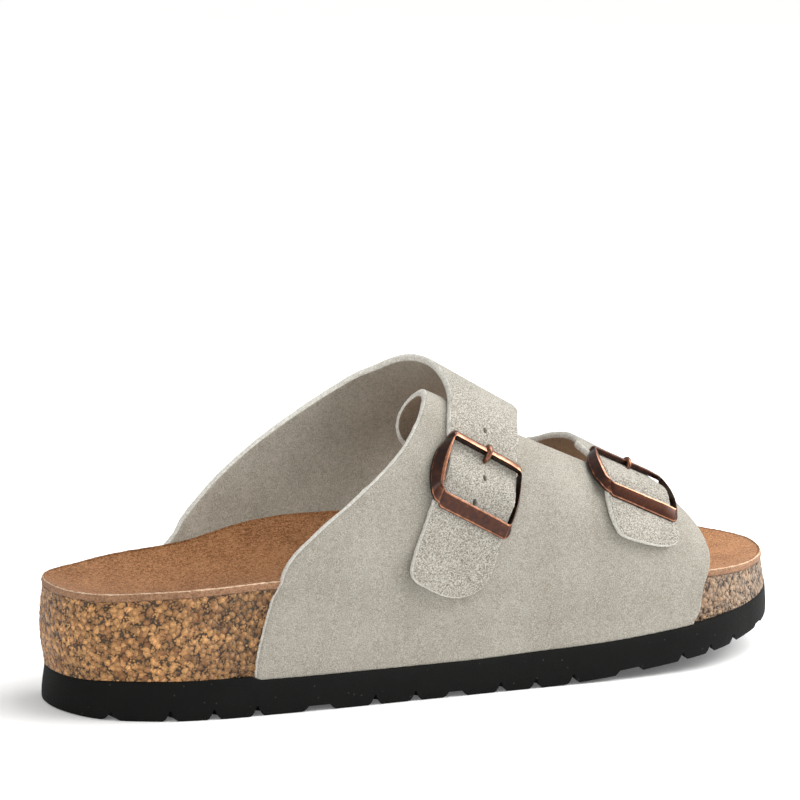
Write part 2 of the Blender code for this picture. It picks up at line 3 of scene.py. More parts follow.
import bmesh
import bpy
import numpy as np
from mathutils import Matrix, Vector


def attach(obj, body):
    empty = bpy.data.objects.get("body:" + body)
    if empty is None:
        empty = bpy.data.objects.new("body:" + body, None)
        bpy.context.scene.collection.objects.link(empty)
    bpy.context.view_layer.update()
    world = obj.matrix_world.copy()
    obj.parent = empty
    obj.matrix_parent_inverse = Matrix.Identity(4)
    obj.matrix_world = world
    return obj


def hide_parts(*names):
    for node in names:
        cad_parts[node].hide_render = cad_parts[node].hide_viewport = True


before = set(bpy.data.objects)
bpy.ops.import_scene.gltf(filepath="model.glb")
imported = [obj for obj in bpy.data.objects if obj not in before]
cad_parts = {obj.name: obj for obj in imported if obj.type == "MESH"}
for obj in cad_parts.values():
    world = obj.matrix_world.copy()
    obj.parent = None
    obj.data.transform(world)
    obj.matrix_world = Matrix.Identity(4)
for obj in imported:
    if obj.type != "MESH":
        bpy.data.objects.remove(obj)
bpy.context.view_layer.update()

# A two-strap sandal, right shoe. Shapes are worked out in millimetres: x from the heel to the toe,
# y towards the inner side of the foot, z up from the floor, and go to metres as each mesh is made.
shoe = {
    "origin": (127.85, 1.945, 0.0),
    "length": 257.5,
    "outline": [  # sole from above: heel, outer side, toe, inner side
        (-1, 2), (4.4, -19.2), (19.5, -30.5), (57.5, -37), (102.5, -39.7), (147.5, -42), (182.5, -44.3),
        (212.5, -42.2), (237.5, -30.2), (252.5, -12), (257.5, 8.1), (252.5, 23.4), (237.5, 37.6),
        (209.5, 46.7), (182.5, 47.9), (147.5, 38.5), (107.5, 32.7), (62.5, 30), (19.5, 26.6), (4.9, 20),
    ],
    "springStart": 150.0, "springRise": 12.0, "springPower": 1.35,
    "panelHeel": 46.0, "panelToe": 212.0, "panelStep": 6.0,
    "suede": 2.5, "proud": 0.6, "glueGap": 0.05,
}


def ease(t):
    t = np.clip(t, 0, 1)
    return t * t * (3 - 2 * t)


def unit(vectors):
    return vectors / np.linalg.norm(vectors, axis=-1, keepdims=True)


def runLength(points):
    # distance along a line of points
    return np.concatenate([[0], np.cumsum(np.linalg.norm(np.diff(points, axis=0), axis=1))])


def smoothCurve(at, knots, values):
    slope = np.gradient(values, knots)
    at = np.clip(at, knots[0], knots[-1])
    i = np.clip(np.searchsorted(knots, at) - 1, 0, len(knots) - 2)
    step = knots[i + 1] - knots[i]
    t = (at - knots[i]) / step
    start = (1 + 2 * t) * (1 - t) ** 2 * values[i] + t * (1 - t) ** 2 * step * slope[i]
    return start + t * t * (3 - 2 * t) * values[i + 1] + t * t * (t - 1) * step * slope[i + 1]


def fromTable(at, rows, value=1):
    rows = np.asarray(rows, float)
    return smoothCurve(at, rows[:, 0], rows[:, value])


def closedLine(points, steps):
    # smooth closed line through the points, with its outward direction
    points = np.asarray(points, float)
    before, after = points - np.roll(points, 1, axis=0), np.roll(points, -1, axis=0) - points
    d0, d1 = (np.linalg.norm(d, axis=1)[:, None] for d in (before, after))
    slope = (before / d0 * d1 + after / d1 * d0) / (d0 + d1)
    t = np.linspace(0, 1, steps, endpoint=False)[None, :, None]
    p0, p1 = points[:, None], np.roll(points, -1, axis=0)[:, None]
    m0, m1 = (slope * d1)[:, None], (np.roll(slope, -1, axis=0) * d1)[:, None]
    line = (1 + 2 * t) * (1 - t) ** 2 * p0 + t * (1 - t) ** 2 * m0 + t * t * (3 - 2 * t) * p1
    line = (line + t * t * (t - 1) * m1).reshape(-1, 2)
    run = unit(np.roll(line, -1, axis=0) - np.roll(line, 1, axis=0))
    return line, np.stack([run[:, 1], -run[:, 0]], axis=1)


def outlineHalves():
    line, out = closedLine(shoe["outline"], 80)
    rows = np.roll(np.hstack([line, out]), -np.argmin(line[:, 0]), axis=0)
    toe = np.argmax(rows[:, 0])
    return rows[:toe + 1], np.vstack([rows[toe:], rows[:1]])[::-1]


outerHalf, innerHalf = outlineHalves()


def halfAt(x, half):
    return [np.interp(x, half[:, 0], half[:, k]) for k in range(4)]


def edgeAt(x, side, out=0.0):
    px, py, nx, ny = halfAt(x, outerHalf if side < 0 else innerHalf)
    return np.stack([px + nx * out, py + ny * out], axis=-1)


def toeRise(x):
    reach = (x - shoe["springStart"]) / (shoe["length"] - shoe["springStart"])
    return shoe["springRise"] * np.clip(reach, 0, 1) ** shoe["springPower"]


def panelZone(x, step=shoe["panelStep"]):
    # 1 along the stretch that the upper covers, 0 at the heel and the toe
    return ease((x - shoe["panelHeel"] + step) / step) * ease((shoe["panelToe"] + step - x) / step)


def soleRing(count, busy=lambda x: 1.0):
    # points round the sole in pairs across it, closer together where busy is larger: x, y, outward x and y
    heel, toe = outerHalf[0, 0], outerHalf[-1, 0]
    x = heel + (toe - heel) * (1 - np.cos(np.linspace(0, pi, 6000))) / 2
    step = sum(np.linalg.norm(np.diff(edgeAt(x, side), axis=0), axis=1) for side in (-1, 1))
    far = np.concatenate([[0], np.cumsum(step * busy((x[1:] + x[:-1]) / 2))])
    x = np.interp(np.linspace(0, far[-1], count // 2 + 1), far, x)
    outer, inner = (np.column_stack(halfAt(x, half)) for half in (outerHalf, innerHalf))
    return np.vstack([outer, inner[-2:0:-1]]), np.repeat([-1, 1], [len(x), len(x) - 2])


def ringQuads(rings, around):
    faces = []
    for r in range(rings - 1):
        for k in range(around):
            n = (k + 1) % around
            faces.append((r * around + k, r * around + n, (r + 1) * around + n, (r + 1) * around + k))
    return faces


def tubeFaces(rings, around, first=0):
    # the wall of a tube of rings, and a cap at each end
    faces = ringQuads(rings, around)
    faces += [[k + c for c in range(around)] for k in (0, (rings - 1) * around)]
    return [[first + i for i in face] for face in faces]


def addPiece(name, points, faces, materials, kinds=None, **values):
    # mesh in metres at its place, merged and facing outwards; kinds gives each face its material
    mesh = bpy.data.meshes.new(name)
    metres = (np.asarray(points, float) - shoe["origin"]) * 0.001
    mesh.from_pydata(metres.tolist(), [], [tuple(map(int, face)) for face in faces])
    for material in materials:
        mesh.materials.append(material)
    if kinds is not None:
        mesh.polygons.foreach_set("material_index", np.asarray(kinds, np.int32))
    for key, value in values.items():
        value = np.asarray(value, np.float32)
        layer = mesh.attributes.new(key, "FLOAT" if value.ndim == 1 else "FLOAT_VECTOR", "POINT")
        layer.data.foreach_set("value" if value.ndim == 1 else "vector", value.ravel())
    shape = bmesh.new()
    shape.from_mesh(mesh)
    bmesh.ops.remove_doubles(shape, verts=shape.verts, dist=1e-6)
    bmesh.ops.recalc_face_normals(shape, faces=shape.faces)
    shape.to_mesh(mesh)
    shape.free()
    mesh.shade_smooth()
    piece = bpy.data.objects.new(name, mesh)
    bpy.context.scene.collection.objects.link(piece)
    return piece


def settle(piece, slot, *nodes):
    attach(piece, "root")
    if nodes:
        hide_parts(*nodes)
    print(piece.name, len(piece.data.polygons), "faces")


def plainMesh(piece):
    # the evaluated piece as a plain mesh with no modifier left
    depsgraph = bpy.context.evaluated_depsgraph_get()
    mesh = bpy.data.meshes.new_from_object(
        piece.evaluated_get(depsgraph), preserve_all_data_layers=True, depsgraph=depsgraph)
    piece.modifiers.clear()
    piece.data = mesh


def cutAway(piece, cutter):
    cut = piece.modifiers.new("cut", "BOOLEAN")
    cut.operation = "DIFFERENCE"
    cut.object = cutter
    plainMesh(piece)
    bpy.data.objects.remove(cutter)


def addNode(tree, kind, inputs, **settings):
    node = tree.nodes.new(kind)
    for key, value in settings.items():
        setattr(node, key, value)
    for key, value in inputs.items():
        if isinstance(value, bpy.types.NodeSocket):
            tree.links.new(value, node.inputs[key])
        else:
            node.inputs[key].default_value = value
    return node


def hexColour(text):
    parts = [int(text[k:k + 2], 16) / 255 for k in (1, 3, 5)]
    return (*[c / 12.92 if c <= 0.04045 else ((c + 0.055) / 1.055) ** 2.4 for c in parts], 1.0)


def startMaterial(name, **sockets):
    material = bpy.data.materials.new(name)
    material.use_nodes = True
    tree = material.node_tree
    shader = tree.nodes["Principled BSDF"]
    for key, value in sockets.items():
        shader.inputs[key].default_value = value
    place = addNode(tree, "ShaderNodeTexCoord", {}).outputs["Object"]
    return material, tree, shader.inputs, place


def startTree(name, **sockets):
    # Geometry Nodes tree with one mesh in, one mesh out and named sizes
    tree = bpy.data.node_groups.new(name, "GeometryNodeTree")
    tree.interface.new_socket("Geometry", in_out="INPUT", socket_type="NodeSocketGeometry")
    tree.interface.new_socket("Geometry", in_out="OUTPUT", socket_type="NodeSocketGeometry")
    for key, kind in sockets.items():
        tree.interface.new_socket(key, in_out="INPUT", socket_type=kind)
    return tree, addNode(tree, "NodeGroupInput", {}).outputs


def endTree(tree, made, material):
    whole = addNode(tree, "GeometryNodeRealizeInstances", {"Geometry": made})
    dressed = addNode(tree, "GeometryNodeSetMaterial", {"Geometry": whole.outputs[0], "Material": material})
    addNode(tree, "NodeGroupOutput", {"Geometry": dressed.outputs[0]})
    return tree


def runTree(piece, tree, **values):
    modifier = piece.modifiers.new(tree.name, "NODES")
    modifier.node_group = tree
    for item in tree.interface.items_tree:
        if item.in_out == "INPUT" and item.name in values:
            modifier[item.identifier] = values[item.name]
    plainMesh(piece)


# Suede: split hide buffed to a short nap, so it is matt and mottled, with a soft sheen at grazing angles.
# The nap is drawn at about twice its real size, so that it shows.
suedes = {  # light, dark, nap mm and contrast, grain mm, stretch, contrast and depth, cloud mm and contrast, painted toe light
    "greySuedeNap": ("#aca79d", "#827d72", 0.34, 3.8, 1.6, 0.8, 0.5, 0.1, 15, 0.8),
    "greySuedeStrap": ("#bdb8ae", "#736e63", 0.32, 2.4, 0.42, 0.8, 2.8, 0.3, 16, 0.4),
    "greySuedeFleshSide": ("#c4c0b4", "#949083", 0.34, 3.2, 1.4, 0.8, 0.8, 0.15, 12, 0.7),
    # a darker, browner copy of the flesh side, for the outer panel's inside: painted shade for the shade inside
    # the curled tabs
    "greySuedeTabInside": ("#a49481", "#7b6e5d", 0.34, 3.2, 1.4, 0.8, 0.8, 0.15, 12, 0.7),
    "greySuedeRawEdge": ("#e6e3db", "#b9b5aa", 0.34, 2.6, 0.8, 1.0, 1.6, 0.3, 5, 0.5),
    # its last value is painted light and shade: how much lighter the lining is towards the toe and darker towards
    # the heel
    "tanSuedeNap": ("#b5835a", "#6d4526", 0.34, 3.4, 0.6, 0.6, 1.9, 0.2, 10, 0.7, 0.26),
    "tanSuedeRawEdge": ("#ae8465", "#735641", 0.34, 2.6, 0.8, 0.6, 1.3, 0.3, 4, 0.6),
    "tanSuedeTrimmedCorner": ("#e2c8ad", "#ab8767", 0.34, 2.6, 0.8, 0.6, 1.5, 0.3, 4, 0.6),
}


def suede(name):
    light, dark, napMm, nap, grainMm, stretch, grain, depth, cloudMm, cloud, *paintedToeLight = suedes[name]
    material, tree, shader, place = startMaterial(
        name, **{"Roughness": 0.93, "Specular IOR Level": 0.15, "Sheen Weight": 0.12, "Sheen Roughness": 0.45})
    drawn = addNode(tree, "ShaderNodeVectorMath", {0: place, 1: (stretch, 1.0, 1.0)}, operation="MULTIPLY")
    fibre = addNode(tree, "ShaderNodeTexNoise", {
        "Vector": place, "Scale": 1000 / napMm, "Detail": 2.0, "Roughness": 0.7})
    pebble = addNode(tree, "ShaderNodeTexNoise", {
        "Vector": drawn.outputs[0], "Scale": 1000 / grainMm, "Detail": 1.5, "Distortion": 0.6})
    mottle = addNode(tree, "ShaderNodeTexNoise", {"Vector": place, "Scale": 1000 / cloudMm, "Detail": 3.0})
    share = 0.5 - 0.5 * (nap + grain + cloud)
    for texture, contrast in ((fibre, nap), (pebble, grain), (mottle, cloud)):
        share = addNode(tree, "ShaderNodeMath", {0: texture.outputs["Fac"], 1: contrast, 2: share},
                        operation="MULTIPLY_ADD").outputs[0]
    colour = addNode(tree, "ShaderNodeMix", {
        0: share, 6: hexColour(dark), 7: hexColour(light)}, data_type="RGBA").outputs[2]
    for toe in paintedToeLight:  # painted light and shade: lighter towards the toe, where more light falls, and darker towards the heel, in the upper's shade
        ahead = addNode(tree, "ShaderNodeSeparateXYZ", {"Vector": place})
        shade = addNode(tree, "ShaderNodeMapRange", {
            "Value": ahead.outputs["X"], "From Min": -0.11, "From Max": 0.11,
            "To Min": 1 - toe / 2, "To Max": 1 + toe})
        colour = addNode(tree, "ShaderNodeVectorMath", {0: colour, "Scale": shade.outputs["Result"]},
                         operation="SCALE").outputs[0]
    tree.links.new(colour, shader["Base Color"])
    pebbles = addNode(tree, "ShaderNodeBump", {
        "Height": pebble.outputs["Fac"], "Distance": depth * 0.001, "Strength": 0.9})
    fibres = addNode(tree, "ShaderNodeBump", {
        "Height": fibre.outputs["Fac"], "Distance": 0.0003, "Strength": 0.8,
        "Normal": pebbles.outputs["Normal"]})
    tree.links.new(fibres.outputs["Normal"], shader["Normal"])
    return material


# Outsole: closed-cell EVA foam from a smooth mould, so it is nearly black and matt with a faint skin
soleShape = {
    "thick": 12.2, "topStart": 156.0, "topRise": 9.4, "topPower": 1.4,
    "dip": 1.2, "dipHeel": 47.0, "dipStep": 4.0, "dipToe": 165.0, "dipFade": 50.0,
    "heelBevel": 12.0, "heelRise": 0.15, "heelDrop": 0.9, "ledge": 1.0, "ledgeStep": 20.0, "flare": 0.9,
    "heelSide": (80.0, 60.0), "toeSide": (215.0, 30.0),  # x where the flare of each end stops, and its fade
    "around": 560,
    "side": [  # share of the flare at the heel, the side and the toe, mm further out, height share
        (1, 0.3, 0.2, -0.4, 0.0), (1, 0.4, 0.35, -0.1, 0.012), (1, 0.5, 0.45, 0, 0.05),
        (1.05, 0.8, 0.5, 0, 0.15), (1, 1, 0.5, 0, 0.3), (0.75, 1, 0.4, 0, 0.5), (0.4, 0.9, 0.25, 0, 0.7),
        (0.15, 0.5, 0.1, 0, 0.86),
        (0.05, 0.2, 0, 0, 0.95), (0, 0.1, 0, -0.08, 0.985), (0, 0, 0, -0.35, 1.0),
    ],
    "shares": (0.06, 0.18, 0.4, 0.7, 1.0),
    "zigzag": 3.5, "zigzagFrom": 12.0, "zigzagFade": 30.0, "bends": 9,  # tread grooves
    "overhang": 1.08, "cutPast": 3.0, "shoulder": 0.9, "shoulderPower": 6,
    "cutLevels": (-0.5, 0.0, 0.08, 0.2, 0.45, 1.0),
    "grooves": [  # x, half mouth, half floor, depth
        (8.5, 1.6, 0.3, 2.4), (22.5, 1.6, 0.3, 3.2), (34, 1.6, 0.3, 3.2), (47.5, 1.6, 0.3, 3.2),
        (68, 5.3, 3.6, 1.8), (87, 1.6, 0.3, 3.2), (101, 1.6, 0.3, 3.2), (115, 3.8, 2.4, 1.8),
        (131, 1.6, 0.3, 3.2), (143.5, 1.6, 0.3, 3.2), (157, 1.6, 0.3, 3.2), (177, 5.2, 3.6, 1.8),
        (197, 1.6, 0.3, 3), (208, 1.6, 0.3, 3), (219, 1.6, 0.3, 3), (236, 3, 2, 1.5),
    ],
}


def soleTop(x):
    dip = ease((x - soleShape["dipHeel"]) / soleShape["dipStep"])
    dip = dip * ease((soleShape["dipToe"] - x) / soleShape["dipFade"])
    dip = soleShape["dip"] * dip + soleShape["heelDrop"] * np.clip(1 - x / soleShape["heelBevel"], 0, 1) ** 2
    reach = np.clip((x - soleShape["topStart"]) / (shoe["length"] - soleShape["topStart"]), 0, 1)
    return soleShape["thick"] + soleShape["topRise"] * reach ** soleShape["topPower"] - dip


def soleFloor(x):
    return toeRise(x) + soleShape["heelRise"] * np.clip(1 - x / soleShape["heelBevel"], 0, 1) ** 2


def spineOf(x, low=34.0, high=224.0):
    middle = np.clip(x, low, high)
    spine = (edgeAt(middle, -1) + edgeAt(middle, 1)) / 2
    spine[:, 0] = middle
    return spine


def foamMaterial():
    material, tree, shader, place = startMaterial(
        "blackEvaFoam", **{"Roughness": 0.75, "Specular IOR Level": 0.13})
    skin = addNode(tree, "ShaderNodeTexNoise", {"Vector": place, "Scale": 1000 / 0.7, "Detail": 4.0})
    cloud = addNode(tree, "ShaderNodeTexNoise", {"Vector": place, "Scale": 1000 / 7, "Detail": 4.0})
    dust = addNode(tree, "ShaderNodeTexVoronoi", {"Vector": place, "Scale": 1000 / 3.2})
    colour = addNode(tree, "ShaderNodeMix", {
        0: cloud.outputs["Fac"], 6: hexColour("#050605"), 7: hexColour("#0f100e")}, data_type="RGBA")
    speck = addNode(tree, "ShaderNodeMapRange", {  # dust specks of about 0.3 mm
        "Value": dust.outputs["Distance"], "From Min": 0.05, "From Max": 0.1, "To Min": 0.12, "To Max": 0.0})
    colour = addNode(tree, "ShaderNodeMix", {
        0: speck.outputs["Result"], 6: colour.outputs[2], 7: hexColour("#8a8a84")}, data_type="RGBA")
    tree.links.new(colour.outputs[2], shader["Base Color"])
    bump = addNode(tree, "ShaderNodeBump", {"Height": skin.outputs["Fac"], "Distance": 0.0002, "Strength": 0.7})
    tree.links.new(bump.outputs["Normal"], shader["Normal"])
    return material


def grooveCutter():
    # one zigzag prism for each groove of the tread, set on the curve of the sole
    points, faces = [], []
    across = np.linspace(-1, 1, soleShape["bends"])
    wave = soleShape["zigzag"] * np.array([0, *[1, -1] * ((soleShape["bends"] - 2) // 2), 1, 0])
    across = across * soleShape["overhang"]
    levels = np.array(soleShape["cutLevels"])
    for x, mouth, flat, depth in soleShape["grooves"]:
        fade = ease((x - soleShape["zigzagFrom"]) / soleShape["zigzagFade"])
        fade = fade * ease((shoe["length"] - soleShape["zigzagFrom"] - x) / soleShape["zigzagFade"])
        sides = [edgeAt(x, side, soleShape["cutPast"]) for side in (-1, 1)]
        wide = flat + (mouth - flat) * (1 - levels)
        wide = wide + soleShape["shoulder"] * (1 - levels) ** soleShape["shoulderPower"]
        section = [*zip(-wide, levels * depth), *zip(wide[::-1], levels[::-1] * depth)]
        first = len(points)
        for w, shift in zip(across, wave * fade):
            middle = sides[0] + (sides[1] - sides[0]) * (w + 1) / 2
            for dx, up in section:
                points.append((middle[0] + shift + dx, middle[1], soleFloor(x + dx) + up))
        faces += tubeFaces(len(across), len(section), first)
    return addPiece("treadCutter", points, faces, [])


def buildOutsole(material):
    ring, side = soleRing(soleShape["around"])
    x = ring[:, 0]
    ledge = soleShape["ledge"] * panelZone(x, soleShape["ledgeStep"])
    floor, top = soleFloor(x), soleTop(x)
    spine = spineOf(x)

    def inward(base, share, height):
        plan = base[:, :2] + (spine - base[:, :2]) * share
        return np.column_stack([plan, height(plan[:, 0])])

    wall = []
    (heelEnd, heelFade), (toeStart, toeFade) = soleShape["heelSide"], soleShape["toeSide"]
    heel, toe = ease((heelEnd - x) / heelFade), ease((x - toeStart) / toeFade)
    for atHeel, atSide, atToe, extra, level in soleShape["side"]:
        share = atSide + (atHeel - atSide) * heel + (atToe - atSide) * toe
        out = soleShape["flare"] * share + extra + ledge
        plan = ring[:, :2] + ring[:, 2:] * out[:, None]
        wall.append(np.column_stack([plan, floor + (top - floor) * level]))
    rings = [inward(wall[0], share, soleFloor) for share in soleShape["shares"][::-1]] + wall
    rings += [inward(wall[-1], share, soleTop) for share in soleShape["shares"]]
    outsole = addPiece("evaOutsole", np.vstack(rings), ringQuads(len(rings), len(ring)), [material])
    cutAway(outsole, grooveCutter())
    outsole.data.set_sharp_from_angle(angle=radians(32))
    settle(outsole, "black_eva", "outsole")


evaFoam = foamMaterial()
buildOutsole(evaFoam)

# Footbed: cork granules pressed with latex, so rounded tan grains stand between darker gaps under a thin seal
corkShape = {
    "rim": [  # x, outer side, inner side: top of the lining
        (0, 38.4, 38.4), (19.5, 40, 39.3), (38, 40.7, 41.2), (57.5, 41.2, 43.2), (75, 40.4, 46.6),
        (90, 39.5, 48), (107.5, 38.4, 47.7), (147.5, 35.6, 45), (182.5, 33.8, 39.4), (237.5, 31.5, 33.5),
        (257.5, 31.8, 31.8),
    ],
    "bed": [  # x, lowest line of the bed
        (20, 31.5), (35, 30.5), (70, 31.5), (107, 32.5), (150, 29.5), (182, 27), (203, 27.6), (225, 27),
        (245, 28.6),
    ],
    "bowlPower": 2.3,
    "inset": [(0, -0.8), (20, -0.6), (46, 0.0), (60, 0.1), (200, 0.8), (230, 1.3), (257.5, 1.7)],
    "wall": [(0, 0.6, -1.3), (0.33, -0.7, -1.0), (0.66, -0.9, -0.5), (1, 0, 0)],  # level, in at heel, in at toe
    "leanFrom": 200.0, "leanLength": 35.0,
    "cover": [  # level, rear and front edge of the upper
        (0, 48.8, 203), (0.2, 49.4, 205.5), (0.5, 51.4, 206.5), (0.7, 53, 207.2), (0.9, 55.2, 208.6),
        (1, 57.4, 209),
    ],
    "coverStep": 2.5, "innerCover": 28.0, "innerStep": 20.0, "flushFrom": 18.0, "flushAt": 46.0,
    "clear": 0.3, "lining": 2.5,
    "around": 900, "levels": 58, "busy": 3.4, "busyShift": 14.0, "wallFade": 0.02,
    "bedShares": (0.06, 0.16, 0.3, 0.48, 0.72, 1.0),
    "granule": 1.9, "relief": 0.35,
}


def covered(x, side, level):
    # 1 where the upper hides the wall, with the step just inside the upper's slanting edges
    rear, front = (fromTable(level, corkShape["cover"], k) for k in (1, 2))
    rear = np.where(side < 0, rear, corkShape["innerCover"])
    step = np.where(side < 0, corkShape["coverStep"], corkShape["innerStep"])
    return ease((x - rear) / step) * ease((front - x) / corkShape["coverStep"])


def bedInset(x, side, level=1.0):
    free = fromTable(x, corkShape["inset"])
    return free + (shoe["suede"] - shoe["proud"] + corkShape["clear"] - free) * covered(x, side, level)


def rimHeight(x, side):
    return np.where(side < 0, fromTable(x, corkShape["rim"], 1), fromTable(x, corkShape["rim"], 2))


def bedRing(ring, side, share, drop):
    rim = ring[:, :2] - ring[:, 2:] * bedInset(ring[:, 0], side)[:, None]
    plan = rim + (spineOf(ring[:, 0]) - rim) * share
    low = fromTable(plan[:, 0], corkShape["bed"])
    top = rimHeight(ring[:, 0], side)
    return np.column_stack([plan, low + (top - low) * (1 - share) ** corkShape["bowlPower"] - drop])


def granuleNodes(tree, place, granule):
    # coarse granules with fines between them, the same in the wall's relief and in its colour
    warp = addNode(tree, "ShaderNodeTexNoise", {"Vector": place, "Scale": 1000 / 2.4, "Detail": 2.0})
    bent = addNode(tree, "ShaderNodeVectorMath", {
        0: warp.outputs["Color"], 1: (0.0011, 0.0011, 0.0011), 2: place}, operation="MULTIPLY_ADD")
    domes, tints = [], []
    for number, top in ((1.0, 1.0), (2.1, 0.75)):
        scale = addNode(tree, "ShaderNodeMath", {0: number, 1: granule}, operation="DIVIDE")
        cells = addNode(tree, "ShaderNodeTexVoronoi", {"Vector": bent.outputs[0], "Scale": scale.outputs[0]})
        dome = addNode(tree, "ShaderNodeMapRange", {
            "Value": cells.outputs["Distance"], "From Min": 0.0, "From Max": 0.85, "To Min": top, "To Max": 0.0},
            interpolation_type="SMOOTHSTEP")
        domes.append(dome.outputs["Result"])
        tints.append(cells.outputs["Color"])
    height = addNode(tree, "ShaderNodeMath", {0: domes[0], 1: domes[1]}, operation="MAXIMUM")
    return height.outputs[0], *tints


def corkMaterial():
    material, tree, shader, place = startMaterial("pressedCork", **{
        "Roughness": 0.5, "Specular IOR Level": 0.4, "Coat Weight": 0.15, "Coat Roughness": 0.35})
    size = addNode(tree, "ShaderNodeValue", {})
    size.outputs[0].default_value = corkShape["granule"] * 0.001
    height, cell, fines = granuleNodes(tree, place, size.outputs[0])
    tint = addNode(tree, "ShaderNodeSeparateColor", {"Color": cell})
    tint2 = addNode(tree, "ShaderNodeSeparateColor", {"Color": fines})
    grain = addNode(tree, "ShaderNodeMix", {
        0: tint.outputs[0], 6: hexColour("#845732"), 7: hexColour("#dea468")}, data_type="RGBA")
    olive = addNode(tree, "ShaderNodeMapRange", {
        "Value": tint2.outputs[1], "From Min": 0.55, "From Max": 0.95, "To Max": 0.7})
    ahead = addNode(tree, "ShaderNodeSeparateXYZ", {"Vector": place}).outputs["X"]
    toe = addNode(tree, "ShaderNodeMapRange", {  # painted light: the grains turn light beige towards the toe, where more light falls
        "Value": ahead, "From Min": 0.05, "From Max": 0.1, "To Max": 0.5})
    for share, tone in ((olive, "#8f6d42"), (toe, "#e0cab2")):
        grain = addNode(tree, "ShaderNodeMix", {
            0: share.outputs["Result"], 6: grain.outputs[2], 7: hexColour(tone)}, data_type="RGBA")
    body = addNode(tree, "ShaderNodeMapRange", {"Value": height, "From Min": 0.15, "From Max": 0.38})
    colour = addNode(tree, "ShaderNodeMix", {
        0: body.outputs["Result"], 6: hexColour("#3f2d1b"), 7: grain.outputs[2]}, data_type="RGBA")
    patch = addNode(tree, "ShaderNodeTexNoise", {"Vector": place, "Scale": 1000 / 6, "Detail": 4.0})
    shade = addNode(tree, "ShaderNodeMapRange", {
        "Value": patch.outputs["Fac"], "From Min": 0.3, "From Max": 0.7, "To Min": 0.66, "To Max": 1.24})
    colour = addNode(tree, "ShaderNodeVectorMath", {0: colour.outputs[2], 1: shade.outputs["Result"]},
                     operation="MULTIPLY")
    heel = addNode(tree, "ShaderNodeMapRange", {  # the heel is paler than the wall next to the upper
        "Value": ahead, "From Min": -0.105, "From Max": -0.083, "To Min": 1.08, "To Max": 0.6})
    colour = addNode(tree, "ShaderNodeVectorMath", {0: colour.outputs[0], "Scale": heel.outputs["Result"]},
                     operation="SCALE")
    tree.links.new(colour.outputs[0], shader["Base Color"])
    bump = addNode(tree, "ShaderNodeBump", {"Height": height, "Distance": 0.0014, "Strength": 1.0})
    tree.links.new(bump.outputs["Normal"], shader["Normal"])
    return material


def granuleTree(material):
    # sinks the gaps between the granules of the cork wall
    tree, given = startTree("corkGranules", Granule="NodeSocketFloat", Relief="NodeSocketFloat")
    place = addNode(tree, "GeometryNodeInputPosition", {}).outputs[0]
    height = granuleNodes(tree, place, given["Granule"])[0]
    sunk = addNode(tree, "ShaderNodeMath", {0: height, 1: 1.0}, operation="SUBTRACT")
    wall = addNode(tree, "GeometryNodeInputNamedAttribute", {"Name": "corkWall"}, data_type="FLOAT")
    lift = sunk
    for factor in (wall.outputs["Attribute"], given["Relief"]):
        lift = addNode(tree, "ShaderNodeMath", {0: lift.outputs[0], 1: factor}, operation="MULTIPLY")
    normal = addNode(tree, "GeometryNodeInputNormal", {}).outputs[0]
    move = addNode(tree, "ShaderNodeVectorMath", {0: normal, "Scale": lift.outputs[0]}, operation="SCALE")
    moved = addNode(tree, "GeometryNodeSetPosition", {"Geometry": given["Geometry"], "Offset": move.outputs[0]})
    return endTree(tree, moved.outputs[0], material)


def buildFootbed(material):
    # points lie closer together where the cork shows, for its relief
    ring, side = soleRing(corkShape["around"], lambda x: 1 + corkShape["busy"] * (
        1 - panelZone(x - corkShape["busyShift"])))
    x = ring[:, 0]
    heel = x < shoe["length"] / 2
    flush = ease((x - corkShape["flushFrom"]) / (corkShape["flushAt"] - corkShape["flushFrom"]))
    lean = ease((x - corkShape["leanFrom"]) / corkShape["leanLength"])
    top = bedRing(ring, side, 0.0, corkShape["lining"])[:, 2]
    floor = soleTop(x) + shoe["glueGap"]
    rings, wallShare = [], []
    for level in np.linspace(0, 1, corkShape["levels"]):
        hidden = covered(x, side, level)
        atHeel, atToe = (fromTable(level, corkShape["wall"], k) for k in (1, 2))
        inset = np.where(heel, atHeel * (1 - flush), atToe * lean) * (1 - hidden)
        plan = ring[:, :2] - ring[:, 2:] * (bedInset(x, side, level) + inset)[:, None]
        rings.append(np.column_stack([plan, floor + (top - floor) * level]))
        wallShare.append((1 - hidden) * ease(min(level, 1 - level) / corkShape["wallFade"]))
    for share in corkShape["bedShares"]:
        rings.append(bedRing(ring, side, share, corkShape["lining"]))
    spine = spineOf(x)
    rings.insert(0, np.column_stack([spine, soleTop(spine[:, 0]) + shoe["glueGap"]]))
    blank = np.zeros(len(ring))
    shares = [blank] + wallShare + [blank] * (len(rings) - len(wallShare) - 1)
    footbed = addPiece("corkFootbed", np.vstack(rings), ringQuads(len(rings), len(ring)), [material],
                       corkWall=np.concatenate(shares))
    runTree(footbed, granuleTree(material), Granule=corkShape["granule"] * 0.001,
            Relief=corkShape["relief"] * 0.001)
    settle(footbed, "cork", "footbed")


cork = corkMaterial()
buildFootbed(cork)

# Lining: tan suede glued on the cork and trimmed flush, so its raw edge shows as a band
liningShape = {
    "thick": 2.45, "around": 620, "rows": 40, "rowPower": 0.7, "fray": 0.12, "frayUp": 0.4, "seed": 4,
    "band": [(-0.75, 0.0), (-0.3, 0.1), (-0.05, 0.4), (0.05, 0.9), (0.05, 1.4), (0.0, 1.9)],  # mm out, mm down
    "bandFoot": -0.1, "underShares": (0.06, 0.3, 1.0),
}


